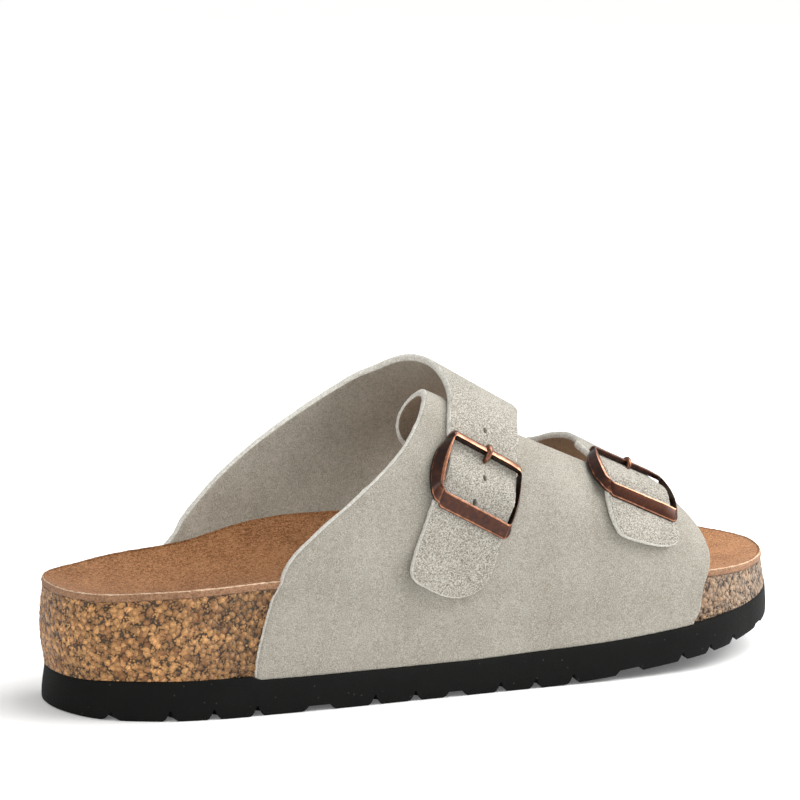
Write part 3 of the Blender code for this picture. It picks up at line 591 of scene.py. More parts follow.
def buildLining(materials):
    ring, side = soleRing(liningShape["around"])
    draw = np.random.default_rng(liningShape["seed"])
    shares = 1 - np.linspace(0, 1, liningShape["rows"]) ** liningShape["rowPower"]
    rings = [bedRing(ring, side, share, 0.0) for share in shares[:-1]]
    out = ring[:, 2:]
    for push, drop in [*liningShape["band"], (liningShape["bandFoot"], liningShape["thick"])]:
        row = bedRing(ring, side, 0.0, drop)
        fray = draw.normal(0, liningShape["fray"], len(ring))
        row[:, :2] += out * (push + fray)[:, None]
        row[:, 2] += liningShape["frayUp"] * draw.normal(0, liningShape["fray"], len(ring))
        rings.append(row)
    first = len(shares) - 1
    for share in liningShape["underShares"]:
        rings.append(bedRing(ring, side, share, liningShape["thick"]))
    faces = ringQuads(len(rings), len(ring))
    kinds = np.zeros(len(faces), int)
    kinds[(first + 2) * len(ring):] = 1
    kinds[(first + 1) * len(ring):(first + 2) * len(ring)] = 2
    lining = addPiece("suedeFootbedLining", np.vstack(rings), faces, materials, kinds)
    settle(lining, "tan_suede", "footbed_lining")


buildLining([suede(name) for name in ("tanSuedeNap", "tanSuedeRawEdge", "tanSuedeTrimmedCorner")])

# Upper: an outer panel with two tabs that curl in, and an inner panel whose straps lie on it
lastShape = {
    "rows": [  # x, ridge height, ridge y, where the arch springs from outside and inside
        (30, 138, 5, 41, 42), (60, 127, 5, 40, 44), (92.5, 116.2, 5, 38.5, 46), (124.5, 100.6, 5, 37, 46),
        (155.5, 85, 4, 35.5, 43), (183.5, 70.5, 3.5, 34, 39), (217.5, 54, 3, 32, 35), (247.5, 44, 3, 31, 33),
    ],
    "power": 2.2, "base": 1.5,
}
outerPanel = {
    "edge": [  # girth v, rear x, front x
        (-1.5, 48.8, 203), (-1.4, 49.4, 205.5), (-1.25, 51.4, 206.5), (-1.15, 53, 207.2), (-1.05, 55.2, 208.6),
        (-0.96, 60.2, 209.6), (-0.9, 69.5, 210), (-0.82, 82.5, 209.6), (-0.74, 93, 209), (-0.66, 101, 208),
        (-0.58, 106.5, 206.6), (-0.52, 110, 205.4), (-0.43, 114, 203.4),
    ],
    "split": [(-1.5, 105, 165), (-0.43, 145, 177)],
    "tabs": [(35, 12.5), (24, 10)],  # length and curl radius, rear and front
    "lean": 0.3, "dip": 0.12, "roundShare": 0.5, "tip": 0.4, "cornerPower": 2.5,
    "rows": 64, "tabRows": 34, "columns": 40, "gapColumns": 30,
}
straps = {
    "edge": [
        (0.44, 114.8, 212), (0.5, 111.4, 212), (0.59, 104.9, 211.6), (0.66, 98.4, 211.2), (0.74, 88.9, 210.6),
        (0.82, 77.5, 210), (0.9, 65.5, 209.6), (0.98, 54.8, 209.2), (1.04, 49.4, 208.8), (1.12, 47.6, 208),
        (1.2, 47.2, 207.2), (1.4, 47, 205.5), (1.5, 47, 203),
    ],
    "split": [(0.44, 156, 176), (1.5, 118, 165)], "notch": 0.08, "notchReach": 0.4,
    "over": [  # rear x and v, front x and v of each cross section on its way over the foot
        [(114.8, 0.44, 156, 0.44), (116.8, 0.4, 153, 0.39), (119.8, 0.34, 152.4, 0.32),
         (123.6, 0.22, 154.7, 0.19), (126.2, 0.08, 156, 0.05), (127.2, -0.06, 155.2, -0.1),
         (126, -0.2, 152.3, -0.24), (123.7, -0.35, 147, -0.38)],
        [(176, 0.44, 212, 0.44), (180.4, 0.39, 212, 0.39), (183.4, 0.3, 212, 0.3),
         (184, 0.15, 210.6, 0.15), (183, 0, 207.6, 0), (180.6, -0.13, 203.6, -0.13)],
    ],
    "tails": [  # distance along the strap from the buckle, and across it to the rear and the front edge
        [(16.5, -15.5, 10.1), (12.5, -14.8, 10.4), (8, -13.3, 11.3), (4.5, -12.9, 11.9), (0.6, -12.5, 12.6),
         (-3.5, -12.2, 13), (-8, -12.5, 13.3), (-12.5, -12.8, 13.7), (-17.5, -12.4, 14.5), (-22, -12.1, 15),
         (-26.6, -11.8, 14.6), (-30.6, -11.4, 12.4), (-33.5, -10.8, 9.4), (-35.2, -10, 6.6), (-36.4, -8.4, 3),
         (-36.9, -5.8, -1.5)],
        [(15, -15.2, 10.2), (12, -14.4, 10.4), (8, -13, 11), (4.5, -12.5, 11.5), (0.6, -12.2, 12.1),
         (-3.5, -12.1, 12.6), (-8, -11.7, 13.2), (-11.5, -10.8, 14.4), (-13.5, -10, 14.8), (-15.4, -8.9, 14.8),
         (-16.8, -7.7, 13.8), (-17.7, -6.6, 11.8), (-18.3, -4.4, 8.4), (-18.6, -1.5, 4)],
    ],
    "rows": 46, "overRows": 54, "tailStep": 0.6, "columns": 40, "gapColumns": 30,
    "thick": 2.2, "lift": 0.1, "layerFrom": 0.4, "layerLength": 0.5,
    "hump": 1.5, "humpLength": 4.5, "farAway": 99.0, "blendRow": 6,
    "sag": [(0.0, 1.7, 0.02, 0.26), (1.3, 1.3, -0.2, 0.14)],  # at the rear and the front edge, v and length
    "curl": 0.7, "curlFrom": (-24, -8), "curlLength": 12.0,
}
buckles = {
    "seats": [(124.9, -0.735, 15, 57), (185.6, -0.52, -1, 40)],  # x, v, turn and bend radius
    "names": ("Rear", "Front"),
    "corners": [  # raised inner edge of the frame, across and along: top front, top rear, low rear, low front
        [(11.9, 9.9), (-14.0, 10.4), (-12.8, -6.7), (13.9, -6.5)],
        [(14.4, 9.0), (-12.8, 11.1), (-12.4, -3.8), (13.6, -7.2)],
    ],
    "centreAlong": 0.6,
}


def lastPoint(x, v):
    x, v = np.asarray(x, float), np.asarray(v, float)
    ridge, ridgeY, outside, inside = (fromTable(x, lastShape["rows"], k) for k in range(1, 5))
    outer = v < 0
    foot = np.where(outer, edgeAt(x, -1, shoe["proud"])[..., 1], edgeAt(x, 1, shoe["proud"])[..., 1])
    low = np.where(outer, outside, inside)
    turn = np.clip(np.abs(v), 0, 1) * pi / 2
    y = ridgeY + (foot - ridgeY) * np.sin(turn) ** (2 / lastShape["power"])
    z = low + (ridge - low) * np.cos(turn) ** (2 / lastShape["power"])
    under = np.clip((np.abs(v) - 1) / (lastShape["base"] - 1), 0, 1)
    return np.stack([x, y, z + (soleTop(x) + shoe["glueGap"] - low) * under], axis=-1)


def lastFrame(x, v):
    along = unit(lastPoint(x + 0.5, v) - lastPoint(x - 0.5, v))
    over = unit(lastPoint(x, v + 0.01) - lastPoint(x, v - 0.01))
    out = unit(np.cross(along, over))
    return along, np.cross(out, along), out


def buckleSeat(seat):
    x, v, turn = seat[:3]
    along, over, out = lastFrame(np.array(float(x)), np.array(float(v)))
    across = along * np.cos(radians(turn)) - over * np.sin(radians(turn))
    return lastPoint(x, v), across, np.cross(out, across), out


def findOnLast(seat, u, a):
    # place on the last that lies u across and a along the strap from the buckle's middle
    centre, across, up, out = buckleSeat(seat)
    u, a = np.broadcast_arrays(np.asarray(u, float), np.asarray(a, float))
    x, v = np.full(u.shape, float(seat[0])), np.full(u.shape, float(seat[1]))
    goal = np.stack([u, seat[3] * np.sin(a / seat[3])])

    def miss(px, pv):
        d = lastPoint(px, pv) - centre
        return np.stack([d @ across, d @ up]) - goal

    for _ in range(12):
        here = miss(x, v)
        dx = (miss(x + 0.5, v) - here) / 0.5
        dv = (miss(x, v + 0.01) - here) / 0.01
        det = dx[0] * dv[1] - dx[1] * dv[0]
        x = x - (here[0] * dv[1] - here[1] * dv[0]) / det
        v = v - (dx[0] * here[1] - dx[1] * here[0]) / det
    return x, v


def strapPoint(seat, u, a, h):
    x, v = findOnLast(seat, u, a)
    return lastPoint(x, v) + lastFrame(x, v)[2] * np.asarray(h, float)[..., None]


def gridQuads(ids):
    a, b, c, d = ids[:-1, :-1], ids[:-1, 1:], ids[1:, 1:], ids[1:, :-1]
    return np.stack([a, b, c, d], axis=-1).reshape(-1, 4)


def edgedSpread(count, thin=0.018):
    # 0 to 1 with a thin first and last step, for the rounded edge of a hide
    return np.concatenate([[0, thin], np.linspace(thin, 1 - thin, count - 1)[1:-1], [1 - thin, 1]])


rawEdge = {"bulge": 0.4, "fray": 0.1, "steps": (0.1, 0.3, 0.5, 0.7, 0.9), "thinRow": 0.006, "seed": 11}


def hideSolid(name, outer, inner, quads, materials):
    # closed hide between an outer and an inner sheet of points, with a rounded, slightly frayed cut edge
    facing = np.cross(outer[quads[:, 1]] - outer[quads[:, 0]], outer[quads[:, 3]] - outer[quads[:, 0]])
    if np.sum(facing * (outer - inner)[quads[:, 0]]) < 0:
        quads = quads[:, ::-1]
    pairs = np.vstack([quads[:, [k, (k + 1) % 4]] for k in range(4)])
    known = set(map(tuple, pairs.tolist()))
    border = [(a, b) for a, b in known if (b, a) not in known]
    after = dict(border)
    before = {b: a for a, b in border}
    ids = np.array(sorted(after))
    spot = {v: k for k, v in enumerate(ids.tolist())}
    run = outer[[after[v] for v in ids]] - outer[[before[v] for v in ids]]
    thick = inner[ids] - outer[ids]
    away = unit(np.cross(run, -thick))
    draw = np.random.default_rng(rawEdge["seed"])
    count, rim = len(outer), []
    for share in rawEdge["steps"]:
        push = rawEdge["bulge"] * np.sin(pi * share) + draw.normal(0, rawEdge["fray"], len(ids))
        rim.append(outer[ids] + thick * share + away * push[:, None])
    rows = [ids] + [2 * count + k * len(ids) + np.arange(len(ids)) for k in range(len(rim))] + [count + ids]
    faces = quads.tolist() + (quads[:, ::-1] + count).tolist()
    kinds = [0] * len(quads) + [1] * len(quads)
    for a, b in sorted(border):
        i, j = spot[a], spot[b]
        for r in range(len(rows) - 1):
            faces.append((rows[r][j], rows[r][i], rows[r + 1][i], rows[r + 1][j]))
            kinds.append(2)
    return addPiece(name, np.vstack([outer, inner, *rim]), faces, materials, kinds)


def bodyColumns(rows, piece):
    grid = []
    thin = edgedSpread(piece["columns"])
    gap = edgedSpread(piece["gapColumns"])
    for v in rows:
        a, d = fromTable(v, piece["edge"], 1), fromTable(v, piece["edge"], 2)
        b, c = fromTable(v, piece["split"], 1), fromTable(v, piece["split"], 2)
        grid.append(np.concatenate([a + (b - a) * thin, (b + (c - b) * gap)[1:], (c + (d - c) * thin)[1:]]))
    rear = slice(0, piece["columns"] + 1)
    front = slice(piece["columns"] + piece["gapColumns"], None)
    return np.array(grid), (rear, front)


def buildOuterPanel(materials):
    low, high = outerPanel["edge"][0][0], outerPanel["edge"][-1][0]
    rows = low + (high - low) * edgedSpread(outerPanel["rows"], rawEdge["thinRow"])
    x, parts = bodyColumns(rows, outerPanel)
    v = np.repeat(rows[:, None], x.shape[1], axis=1)
    outer = [lastPoint(x, v).reshape(-1, 3)]
    inner = [outer[0] - shoe["suede"] * lastFrame(x, v)[2].reshape(-1, 3)]
    ids = np.arange(x.size).reshape(x.shape)
    quads, total = [gridQuads(ids)], x.size
    for (length, radius), part in zip(outerPanel["tabs"], parts):
        along, over, out = lastFrame(x[-1, part], v[-1, part])
        travel = unit(over + outerPanel["lean"] * along - outerPanel["dip"] * out)
        out = unit(out + outerPanel["dip"] * over)
        base = lastPoint(x[-1, part], v[-1, part])
        tab = [ids[-1, part]]
        for share in edgedSpread(outerPanel["tabRows"])[1:]:
            turn = share * length / radius
            sheet = base + radius * (np.sin(turn) * travel - (1 - np.cos(turn)) * out)
            normal = np.cos(turn) * out + np.sin(turn) * travel
            corner = np.clip((share - 1 + outerPanel["roundShare"]) / outerPanel["roundShare"], 0, 1)
            full = np.sqrt(1 - corner ** outerPanel["cornerPower"])
            width = outerPanel["tip"] + (1 - outerPanel["tip"]) * full
            middle = sheet.mean(axis=0)
            sheet = middle + (sheet - middle) * width
            outer.append(sheet)
            inner.append(sheet - shoe["suede"] * normal)
            tab.append(np.arange(total, total + len(sheet)))
            total += len(sheet)
        quads.append(gridQuads(np.array(tab)))
    return hideSolid("upperOuterPanel", np.vstack(outer), np.vstack(inner), np.vstack(quads), materials)


def tailRows(table):
    # the strap's outline at an even pace along its edge
    table = np.asarray(table, float)
    far = runLength(table)
    at = np.linspace(0, far[-1], int(far[-1] / straps["tailStep"]))
    return (smoothCurve(at, far, table[:, k]) for k in range(3))


def buildStraps(materials):
    low, high = straps["edge"][0][0], straps["edge"][-1][0]
    rows = high + (low - high) * edgedSpread(straps["rows"], rawEdge["thinRow"])[:-2]
    rows = np.append(rows, low)
    x, parts = bodyColumns(rows, straps)
    gap = slice(parts[0].stop - 1, parts[1].start + 1)
    deep = np.zeros(x.shape[1])
    deep[gap] = straps["notch"] * np.sin(pi * edgedSpread(straps["gapColumns"]))
    v = rows[:, None] + deep * ease((low + straps["notchReach"] - rows) / straps["notchReach"])[:, None]
    ids = np.arange(x.size).reshape(x.shape)
    quads, total = [gridQuads(ids)], x.size
    allX, allV = [x.ravel()], [v.ravel()]
    allAlong, allSag = [np.full(x.size, straps["farAway"])], [np.zeros(x.size)]
    thin = edgedSpread(straps["columns"])
    sides = zip(buckles["seats"], straps["over"], straps["tails"], parts)
    for k, (seat, over, tail, part) in enumerate(sides):
        a, rear, front = tailRows(tail)
        u = rear[:, None] + (front - rear)[:, None] * thin
        tailX, tailV = findOnLast(seat, u, a[:, None])
        ends = [(tailX[row, 0], tailV[row, 0], tailX[row, -1], tailV[row, -1])
                for row in (0, straps["blendRow"])]
        guide = np.array([*over, *ends], float)
        middle = lastPoint((guide[:, 0] + guide[:, 2]) / 2, (guide[:, 1] + guide[:, 3]) / 2)
        far = runLength(middle)
        at = np.linspace(0, far[-2], straps["overRows"] + 1)[1:-1]
        cut = np.stack([smoothCurve(at, far, guide[:, column]) for column in range(4)])
        overX = cut[0][:, None] + (cut[2] - cut[0])[:, None] * thin
        overV = cut[1][:, None] + (cut[3] - cut[1])[:, None] * thin
        strapX, strapV = np.vstack([overX, tailX]), np.vstack([overV, tailV])
        along = np.concatenate([np.full(len(at), straps["farAway"]), a])
        strapIds = np.arange(total, total + strapX.size).reshape(strapX.shape)
        quads.append(gridQuads(np.vstack([ids[-1:, part], strapIds])))
        allX.append(strapX.ravel())
        allV.append(strapV.ravel())
        allAlong.append(np.repeat(along, strapX.shape[1]))
        rearSag, frontSag, sagAt, sagLength = straps["sag"][k]
        sag = (rearSag + (frontSag - rearSag) * thin) * np.exp(-((strapV - sagAt) / sagLength) ** 2)
        curl = straps["curl"] * ease((straps["curlFrom"][k] - along) / straps["curlLength"])
        allSag.append((sag - curl[:, None]).ravel())
        total += strapX.size
    x, v, along = np.concatenate(allX), np.concatenate(allV), np.concatenate(allAlong)
    sheet, normal = lastPoint(x, v), lastFrame(x, v)[2]
    layer = ease((straps["layerFrom"] - v) / straps["layerLength"])
    hump = straps["hump"] * np.exp(-((along - buckles["centreAlong"]) / straps["humpLength"]) ** 2)
    hump = hump - np.concatenate(allSag)
    top = layer * (straps["lift"] + straps["thick"]) + hump
    under = layer * (shoe["suede"] + straps["lift"]) - shoe["suede"] + hump
    outer, inner = sheet + normal * top[:, None], sheet + normal * under[:, None]
    return hideSolid("upperStraps", outer, inner, np.vstack(quads), materials)


# Punched holes for the prongs, set along the middle of each strap
holes = {
    "wide": 0.65, "long": 1.05, "depth": 9.0, "sides": 18, "height": 1.5,
    "places": [[(-2.6, 18.5), (0.3, 2.9), (0.0, -5.2)], [(3.6, 6.3)]],  # across and along from the buckle
}


def punchTree(material):
    # a round punch at each point, turned to face out of the hide
    tree, given = startTree("holePunches", Size="NodeSocketVector", Sides="NodeSocketInt")
    punch = addNode(tree, "GeometryNodeMeshCylinder", {"Vertices": given["Sides"], "Radius": 1.0, "Depth": 1.0})
    facing = addNode(tree, "GeometryNodeInputNamedAttribute", {"Name": "facing"}, data_type="FLOAT_VECTOR")
    turned = addNode(tree, "FunctionNodeAlignRotationToVector", {"Vector": facing.outputs["Attribute"]}, axis="Z")
    punches = addNode(tree, "GeometryNodeInstanceOnPoints", {
        "Points": given["Geometry"], "Instance": punch.outputs["Mesh"], "Rotation": turned.outputs[0],
        "Scale": given["Size"]})
    return endTree(tree, punches.outputs[0], material)


def punchHoles(piece, material):
    points, facing = [], []
    for seat, places in zip(buckles["seats"], holes["places"]):
        for u, a in places:
            u, a = np.array([u]), np.array([a])
            points.append(strapPoint(seat, u, a, np.array([holes["height"]]))[0])
            facing.append(lastFrame(*findOnLast(seat, u, a))[2][0])
    punches = addPiece("holePunches", points, [], [], facing=facing)
    size = [holes[key] * 0.001 for key in ("wide", "long", "depth")]
    runTree(punches, punchTree(material), Size=size, Sides=holes["sides"])
    cutAway(piece, punches)


greyNap, strapNap, greyFlesh, tabFleshPaintedShade, greyEdge = (
    suede("greySuede" + part) for part in ("Nap", "Strap", "FleshSide", "TabInside", "RawEdge"))
# the outer panel's inside takes the darker flesh-side suede: painted shade for the shade inside the curled tabs
outerHide = buildOuterPanel([greyNap, tabFleshPaintedShade, greyEdge])
settle(outerHide, "grey_suede", "upper")
strapHide = buildStraps([strapNap, greyFlesh, greyEdge])
punchHoles(strapHide, greyFlesh)
settle(strapHide, "grey_suede", "upper")

# Buckles: zinc castings plated with copper and darkened, rubbed bright along the raised edges
frameShape = {
    "half": 12.4, "reach": 8.1, "rounds": (0.9, 0.7, 1.9, 0.8),
    "topWidth": 2.5, "lowWidth": (4.6, 3.8), "frontShare": 0.45, "bulge": 0.7, "bulgePower": 4,
    "sideWidth": [(-8.1, 2.8), (-3, 3.5), (3, 3.0), (8.1, 0.9)],
    "sideBase": 0.9, "crossBase": 2.2, "baseTurn": 1.6, "lip": 0.8, "bow": -0.3,
    "mitreAt": (0.5, 0.5, 0.35, 0.6), "cut": (0, 0, 4.95, 4.55),
    "frontDrop": (0.7, 0.3), "dropFrom": 0.6, "crown": 3.0, "crest": 0.26, "crestAt": 0.08,
    "height": [[(-8.1, 4.7), (8.1, 5.0)], [(-8.1, 4.7), (8.1, 3.9)]],
    "section": [  # share of the width, share of the slope from ridge (1) to lip (0), mm up, wear
        (0.0, 1, -0.5, 0.3), (0.0, 1, -0.12, 0.5), (0.03, 1, 0.0, 0.9), (0.08, 0.97, 0.0, 0.9),
        (0.13, 0.92, 0.0, 0.42), (0.5, 0.53, 0.0, 0.36), (0.88, 0.12, 0.0, 0.4), (0.93, 0.06, 0.0, 0.8),
        (0.98, 0, -0.05, 0.75), (1.0, 0, -0.3, 0.2),
    ],
    "sideWear": 0.72, "topPaintedHighlight": 0.3, "mitreWear": 0.8, "mitrePower": 6,
    "cornerSteps": 13, "sideSteps": 24, "crossSteps": 24, "barSteps": 9, "barSides": 10, "barPast": 0.8,
}
prongShape = {
    "rows": [  # along from the frame's middle, height, radius
        (0.9, 1.0, 0.6), (4.6, 1.2, 0.7), (6.3, 2.2, 0.8), (6.9, 3.6, 0.98), (8.0, 4.5, 1.08),
        (9.2, 4.65, 1.1), (10.1, 4.1, 1.02), (10.6, 3.3, 0.8), (10.8, 2.8, 0.25),
    ],
    "steps": 44, "sides": 18, "scale": (1.0, 0.75), "wear": 0.6,
    "sunk": (0.0, 0.5), "sinkFrom": 4.6, "sinkLength": 3.0, "centreHeight": 0.75, "centreRadius": 0.65,
}


def copperMaterial():
    material, tree, shader, place = startMaterial("antiqueCopperPlate", **{
        "Metallic": 1.0, "Coat Weight": 0.5, "Coat Roughness": 0.22})
    # the attribute holds the wear and, on the top bar's outer slope, a painted highlight
    wornAndHighlit = addNode(tree, "ShaderNodeAttribute", {}, attribute_name="wear")
    blotch = addNode(tree, "ShaderNodeTexNoise", {"Vector": place, "Scale": 1000 / 1.6, "Detail": 4.0})
    patchy = addNode(tree, "ShaderNodeMath", {0: blotch.outputs["Fac"], 1: 0.7, 2: -0.44},
                     operation="MULTIPLY_ADD")
    share = addNode(tree, "ShaderNodeMath", {0: wornAndHighlit.outputs["Fac"], 1: patchy.outputs[0]}, operation="ADD",
                    use_clamp=True)
    brown = addNode(tree, "ShaderNodeMapRange", {"Value": share.outputs[0], "From Max": 0.4})
    bright = addNode(tree, "ShaderNodeMapRange", {"Value": share.outputs[0], "From Min": 0.4})
    colour = addNode(tree, "ShaderNodeMix", {
        0: brown.outputs["Result"], 6: hexColour("#191112"), 7: hexColour("#4a2512")}, data_type="RGBA")
    colour = addNode(tree, "ShaderNodeMix", {
        0: bright.outputs["Result"], 6: colour.outputs[2], 7: hexColour("#c48766")}, data_type="RGBA")
    rough = addNode(tree, "ShaderNodeMapRange", {"Value": share.outputs[0], "To Min": 0.45, "To Max": 0.22})
    tree.links.new(colour.outputs[2], shader["Base Color"])
    tree.links.new(rough.outputs["Result"], shader["Roughness"])
    bump = addNode(tree, "ShaderNodeBump", {"Height": blotch.outputs["Fac"], "Distance": 0.00008, "Strength": 0.4})
    tree.links.new(bump.outputs["Normal"], shader["Normal"])
    return material


def framePath():
    # raised inner edge of the frame: across, along, outward directions and nearness to a corner
    path, ends = [], []
    for k, (su, sa) in enumerate(((1, 1), (-1, 1), (-1, -1), (1, -1))):
        r = frameShape["rounds"][k]
        turns = np.linspace(k * pi / 2, (k + 1) * pi / 2, frameShape["cornerSteps"])
        share = np.linspace(0, 1, frameShape["cornerSteps"])
        mitre = np.clip(1 - np.abs(share - frameShape["mitreAt"][k]) * 2, 0, 1)
        u = su * (frameShape["half"] - r) + r * np.cos(turns)
        a = sa * (frameShape["reach"] - r) + r * np.sin(turns)
        if sa < 0:  # the low bar's ends are cut straight across it
            ways = [turns[0], frameShape["cut"][k], turns[-1]]
            turns = np.interp(share, [0, frameShape["mitreAt"][k], 1], ways)
        ends.append(np.column_stack([u, a, np.cos(turns), np.sin(turns), mitre]))
    for k, corner in enumerate(ends):
        goal = ends[(k + 1) % 4][0]
        steps = frameShape["crossSteps"] if k % 2 == 0 else frameShape["sideSteps"]
        t = np.linspace(0, 1, steps + 1)[1:-1, None]
        path += [corner, corner[-1] + (goal - corner[-1]) * t]
    return np.vstack(path)


def framePoint(k, u, a, h):
    # place of a frame's point, which sits on the strap as its four corners say
    frontTop, rearTop, rearLow, frontLow = (np.array(corner) for corner in buckles["corners"][k])
    s = (np.asarray(u, float)[:, None] / frameShape["half"] + 1) / 2
    t = (np.asarray(a, float)[:, None] / frameShape["reach"] + 1) / 2
    spot = t * (s * frontTop + (1 - s) * rearTop) + (1 - t) * (s * frontLow + (1 - s) * rearLow)
    return strapPoint(buckles["seats"][k], spot[:, 0], spot[:, 1], h)


def tubeRings(path, radii, side, sides):
    turns = np.linspace(0, 2 * pi, sides, endpoint=False)[:, None]
    heading = unit(np.gradient(path, axis=0))
    return [p + r * (np.cos(turns) * side + np.sin(turns) * np.cross(h, side))
            for p, r, h in zip(path, radii, heading)]


def buildBuckle(k, material):
    u, a, outU, outA, mitre = framePath().T
    side = fromTable(a, frameShape["sideWidth"]) * np.where(u > 0, frameShape["frontShare"], 1.0)
    cross = np.where(outA > 0, frameShape["topWidth"], frameShape["lowWidth"][k])
    turned = ease(np.abs(outA) * frameShape["baseTurn"])
    base = frameShape["sideBase"] + (frameShape["crossBase"] - frameShape["sideBase"]) * turned
    middle = 1 - (a / frameShape["reach"]) ** 2
    ridge = fromTable(a, frameShape["height"][k]) + frameShape["bow"] * middle
    ahead = (u / frameShape["half"] - frameShape["dropFrom"]) / (1 - frameShape["dropFrom"])
    ridge = ridge - frameShape["frontDrop"][k] * ease(ahead)
    lip = base + frameShape["lip"]
    sideways = np.sign(u) * (np.abs(u) / frameShape["half"]) ** frameShape["bulgePower"]
    bulge = frameShape["bulge"] * sideways * middle
    rings, wear = [], []
    for share, slope, up, wornAndHighlit in [(0.0, None, 0, 0.2), *frameShape["section"], (1.0, None, 0, 0.1)]:
        if slope is None:
            h = base
        else:
            h = lip + (ridge - lip) * np.where(outA > 0.5, 1 - (1 - slope) ** frameShape["crown"], slope) + up
        crestShare = min(share / frameShape["crestAt"], (1 - share) / (1 - frameShape["crestAt"]))
        crest = frameShape["crest"] * np.clip(-outU, 0, 1) * crestShare
        rings.append(framePoint(k, u + bulge + outU * side * (share + crest), a + outA * cross * share, h))
        if share > 0.1:
            wornAndHighlit = wornAndHighlit * np.where(np.abs(outA) < 0.5, frameShape["sideWear"], 1.0)
            # painted highlight: the top bar's outer slope gets extra wear, so it shows bright copper where the
            # overhead light reflects
            wornAndHighlit = wornAndHighlit + frameShape["topPaintedHighlight"] * (outA > 0.9)
        rubbed = frameShape["mitreWear"] * mitre ** frameShape["mitrePower"] * (share > 0)
        wear.append(np.maximum(wornAndHighlit, rubbed))
    around, count = len(rings), len(u)
    faces = ringQuads(count, around)
    faces += [((count - 1) * around + i, (count - 1) * around + (i + 1) % around, (i + 1) % around, i)
              for i in range(around)]
    first, stops, sides = count * around, frameShape["barSteps"], frameShape["barSides"]
    bar = np.linspace(-1, 1, stops) * (frameShape["half"] + frameShape["barPast"])
    line = framePoint(k, bar, np.zeros(stops), np.full(stops, prongShape["centreHeight"]))
    radii = np.full(stops, prongShape["centreRadius"])
    tube = tubeRings(line, radii, buckleSeat(buckles["seats"][k])[2], sides)
    faces += tubeFaces(stops, sides, first)
    points = np.vstack([np.stack(rings, axis=1).reshape(-1, 3), *tube])
    wear = np.concatenate([np.stack(wear, axis=1).ravel(), np.zeros(stops * sides)])
    buckle = addPiece("buckle" + buckles["names"][k], points, faces, [material], wear=wear)
    buckle.data.set_sharp_from_angle(angle=radians(50))
    settle(buckle, "antique_copper", "buckle_" + buckles["names"][k].lower())


def buildProng(k, material):
    rows = np.asarray(prongShape["rows"], float)
    far = runLength(rows[:, :2])
    at = np.linspace(0, far[-1], prongShape["steps"])
    a, h, radii = (smoothCurve(at, far, rows[:, column]) for column in range(3))
    h = h - prongShape["sunk"][k] * ease((a - prongShape["sinkFrom"]) / prongShape["sinkLength"])
    path, across = framePoint(k, np.zeros(len(at)), a, h), buckleSeat(buckles["seats"][k])[1]
    rings = tubeRings(path, radii * prongShape["scale"][k], across, prongShape["sides"])
    faces = tubeFaces(len(rings), prongShape["sides"])
    points = np.vstack(rings)
    wear = np.full(len(points), prongShape["wear"])
    prong = addPiece("prong" + buckles["names"][k], points, faces, [material], wear=wear)
    settle(prong, "antique_copper", "prong_" + buckles["names"][k].lower())


antiqueCopper = copperMaterial()
for k in range(len(buckles["names"])):
    buildBuckle(k, antiqueCopper)
    buildProng(k, antiqueCopper)

# Studio: plain white floor under a large overhead softbox, with a bright room all round.
# The floor glows, faintly by the shoe and more further off, so that it burns out to white.
studio = {
    "floorSize": 8.0, "floorColour": "#f4f4f3", "floorGlow": (0.12, 0.5), "glowFrom": 0.14, "glowFull": 0.6,
    "roomColour": "#ffffff", "roomStrength": 0.6,
    "lamps": [  # place, aim, size, watts
        ((0.62, -0.2, 1.05), (0.05, 0.0, 0.04), 1.2, 17.5),
        ((0.8, -0.4, 0.5), (0.06, 0.0, 0.04), 0.5, 5.0),
        ((-1.1, -0.8, 0.5), (0.0, 0.0, 0.05), 0.7, 4.0),
    ],
}
view = {
    "azimuth": -29.92, "elevation": 10.84, "distance": 1.284, "roll": 0.77,
    "target": (-0.00035, -0.001945, 0.040), "focal": 3996.0, "middle": (421.7, 545.2), "pixels": 800,
}


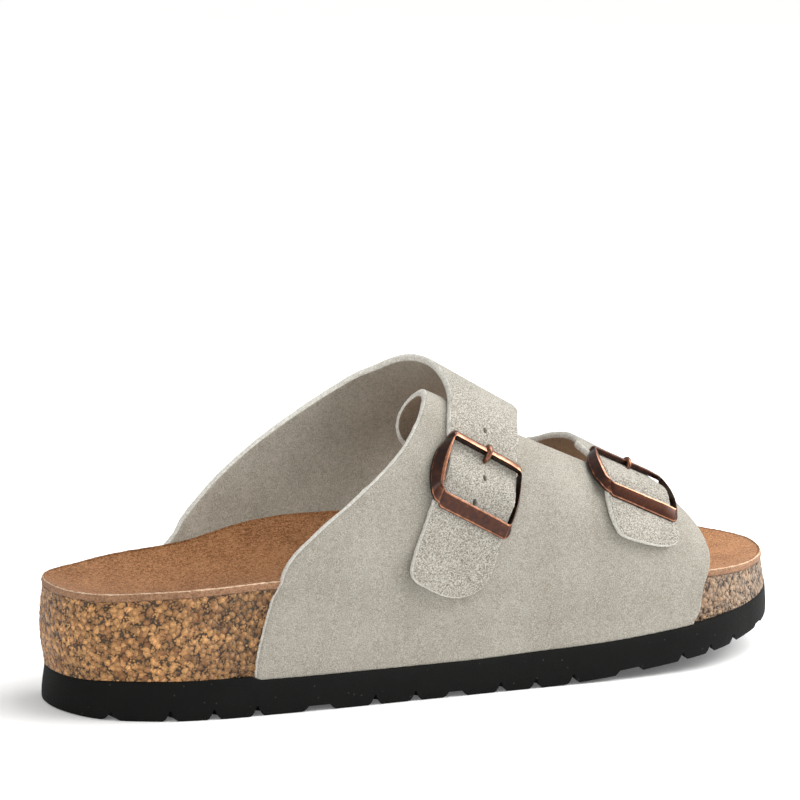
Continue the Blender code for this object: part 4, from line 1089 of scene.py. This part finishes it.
def addStudio():
    material, tree, shader, place = startMaterial("paintedStudioFloor", **{
        "Roughness": 0.9, "Specular IOR Level": 0.1, "Base Color": hexColour(studio["floorColour"]),
        "Emission Color": hexColour(studio["floorColour"])})
    away = addNode(tree, "ShaderNodeVectorMath", {0: place}, operation="LENGTH")
    glow = addNode(tree, "ShaderNodeMapRange", {
        "Value": away.outputs["Value"], "From Min": studio["glowFrom"], "From Max": studio["glowFull"],
        "To Min": studio["floorGlow"][0], "To Max": studio["floorGlow"][1]}, interpolation_type="SMOOTHSTEP")
    tree.links.new(glow.outputs["Result"], shader["Emission Strength"])
    half = studio["floorSize"] / 2
    mesh = bpy.data.meshes.new("studioFloor")
    mesh.from_pydata([(-half, -half, 0), (half, -half, 0), (half, half, 0), (-half, half, 0)], [], [(0, 1, 2, 3)])
    mesh.materials.append(material)
    floor = bpy.data.objects.new("studioFloor", mesh)
    bpy.context.scene.collection.objects.link(floor)
    world = bpy.data.worlds.new("studioRoom")
    world.use_nodes = True
    room = world.node_tree.nodes["Background"].inputs
    room["Color"].default_value = hexColour(studio["roomColour"])
    room["Strength"].default_value = studio["roomStrength"]
    bpy.context.scene.world = world
    for k, (spot, aim, size, watts) in enumerate(studio["lamps"]):
        lamp = bpy.data.lights.new(f"softbox{k + 1}", "AREA")
        lamp.size, lamp.energy = size, watts
        stand = bpy.data.objects.new(lamp.name, lamp)
        stand.location = spot
        stand.rotation_euler = (Vector(aim) - Vector(spot)).to_track_quat("-Z", "Y").to_euler()
        bpy.context.scene.collection.objects.link(stand)
    bpy.context.scene.view_settings.view_transform = "Standard"


def addCamera():
    # the photo's camera, turned about its own place so that the picture's middle is on its axis
    az, el, roll = (radians(view[key]) for key in ("azimuth", "elevation", "roll"))
    back = np.array((np.sin(az) * np.cos(el), -np.cos(az) * np.cos(el), np.sin(el)))
    right = unit(np.cross(-back, (0, 0, 1)))
    up = np.cross(right, -back)
    right, up = right * np.cos(roll) + up * np.sin(roll), up * np.cos(roll) - right * np.sin(roll)
    shift = (np.array((view["pixels"] / 2,) * 2) - view["middle"]) / view["focal"]
    ahead = unit(-back + right * shift[0] - up * shift[1])
    right = unit(np.cross(ahead, up))
    up = np.cross(right, ahead)
    lens = bpy.data.cameras.new("photoCamera")
    lens.sensor_width = 36.0
    lens.lens = view["focal"] * lens.sensor_width / view["pixels"]
    camera = bpy.data.objects.new("photoCamera", lens)
    eye = np.array(view["target"]) + back * view["distance"]
    camera.matrix_world = Matrix([*np.column_stack([right, up, -ahead, eye]).tolist(), (0, 0, 0, 1)])
    bpy.context.scene.collection.objects.link(camera)
    bpy.context.scene.camera = camera


addStudio()
addCamera()
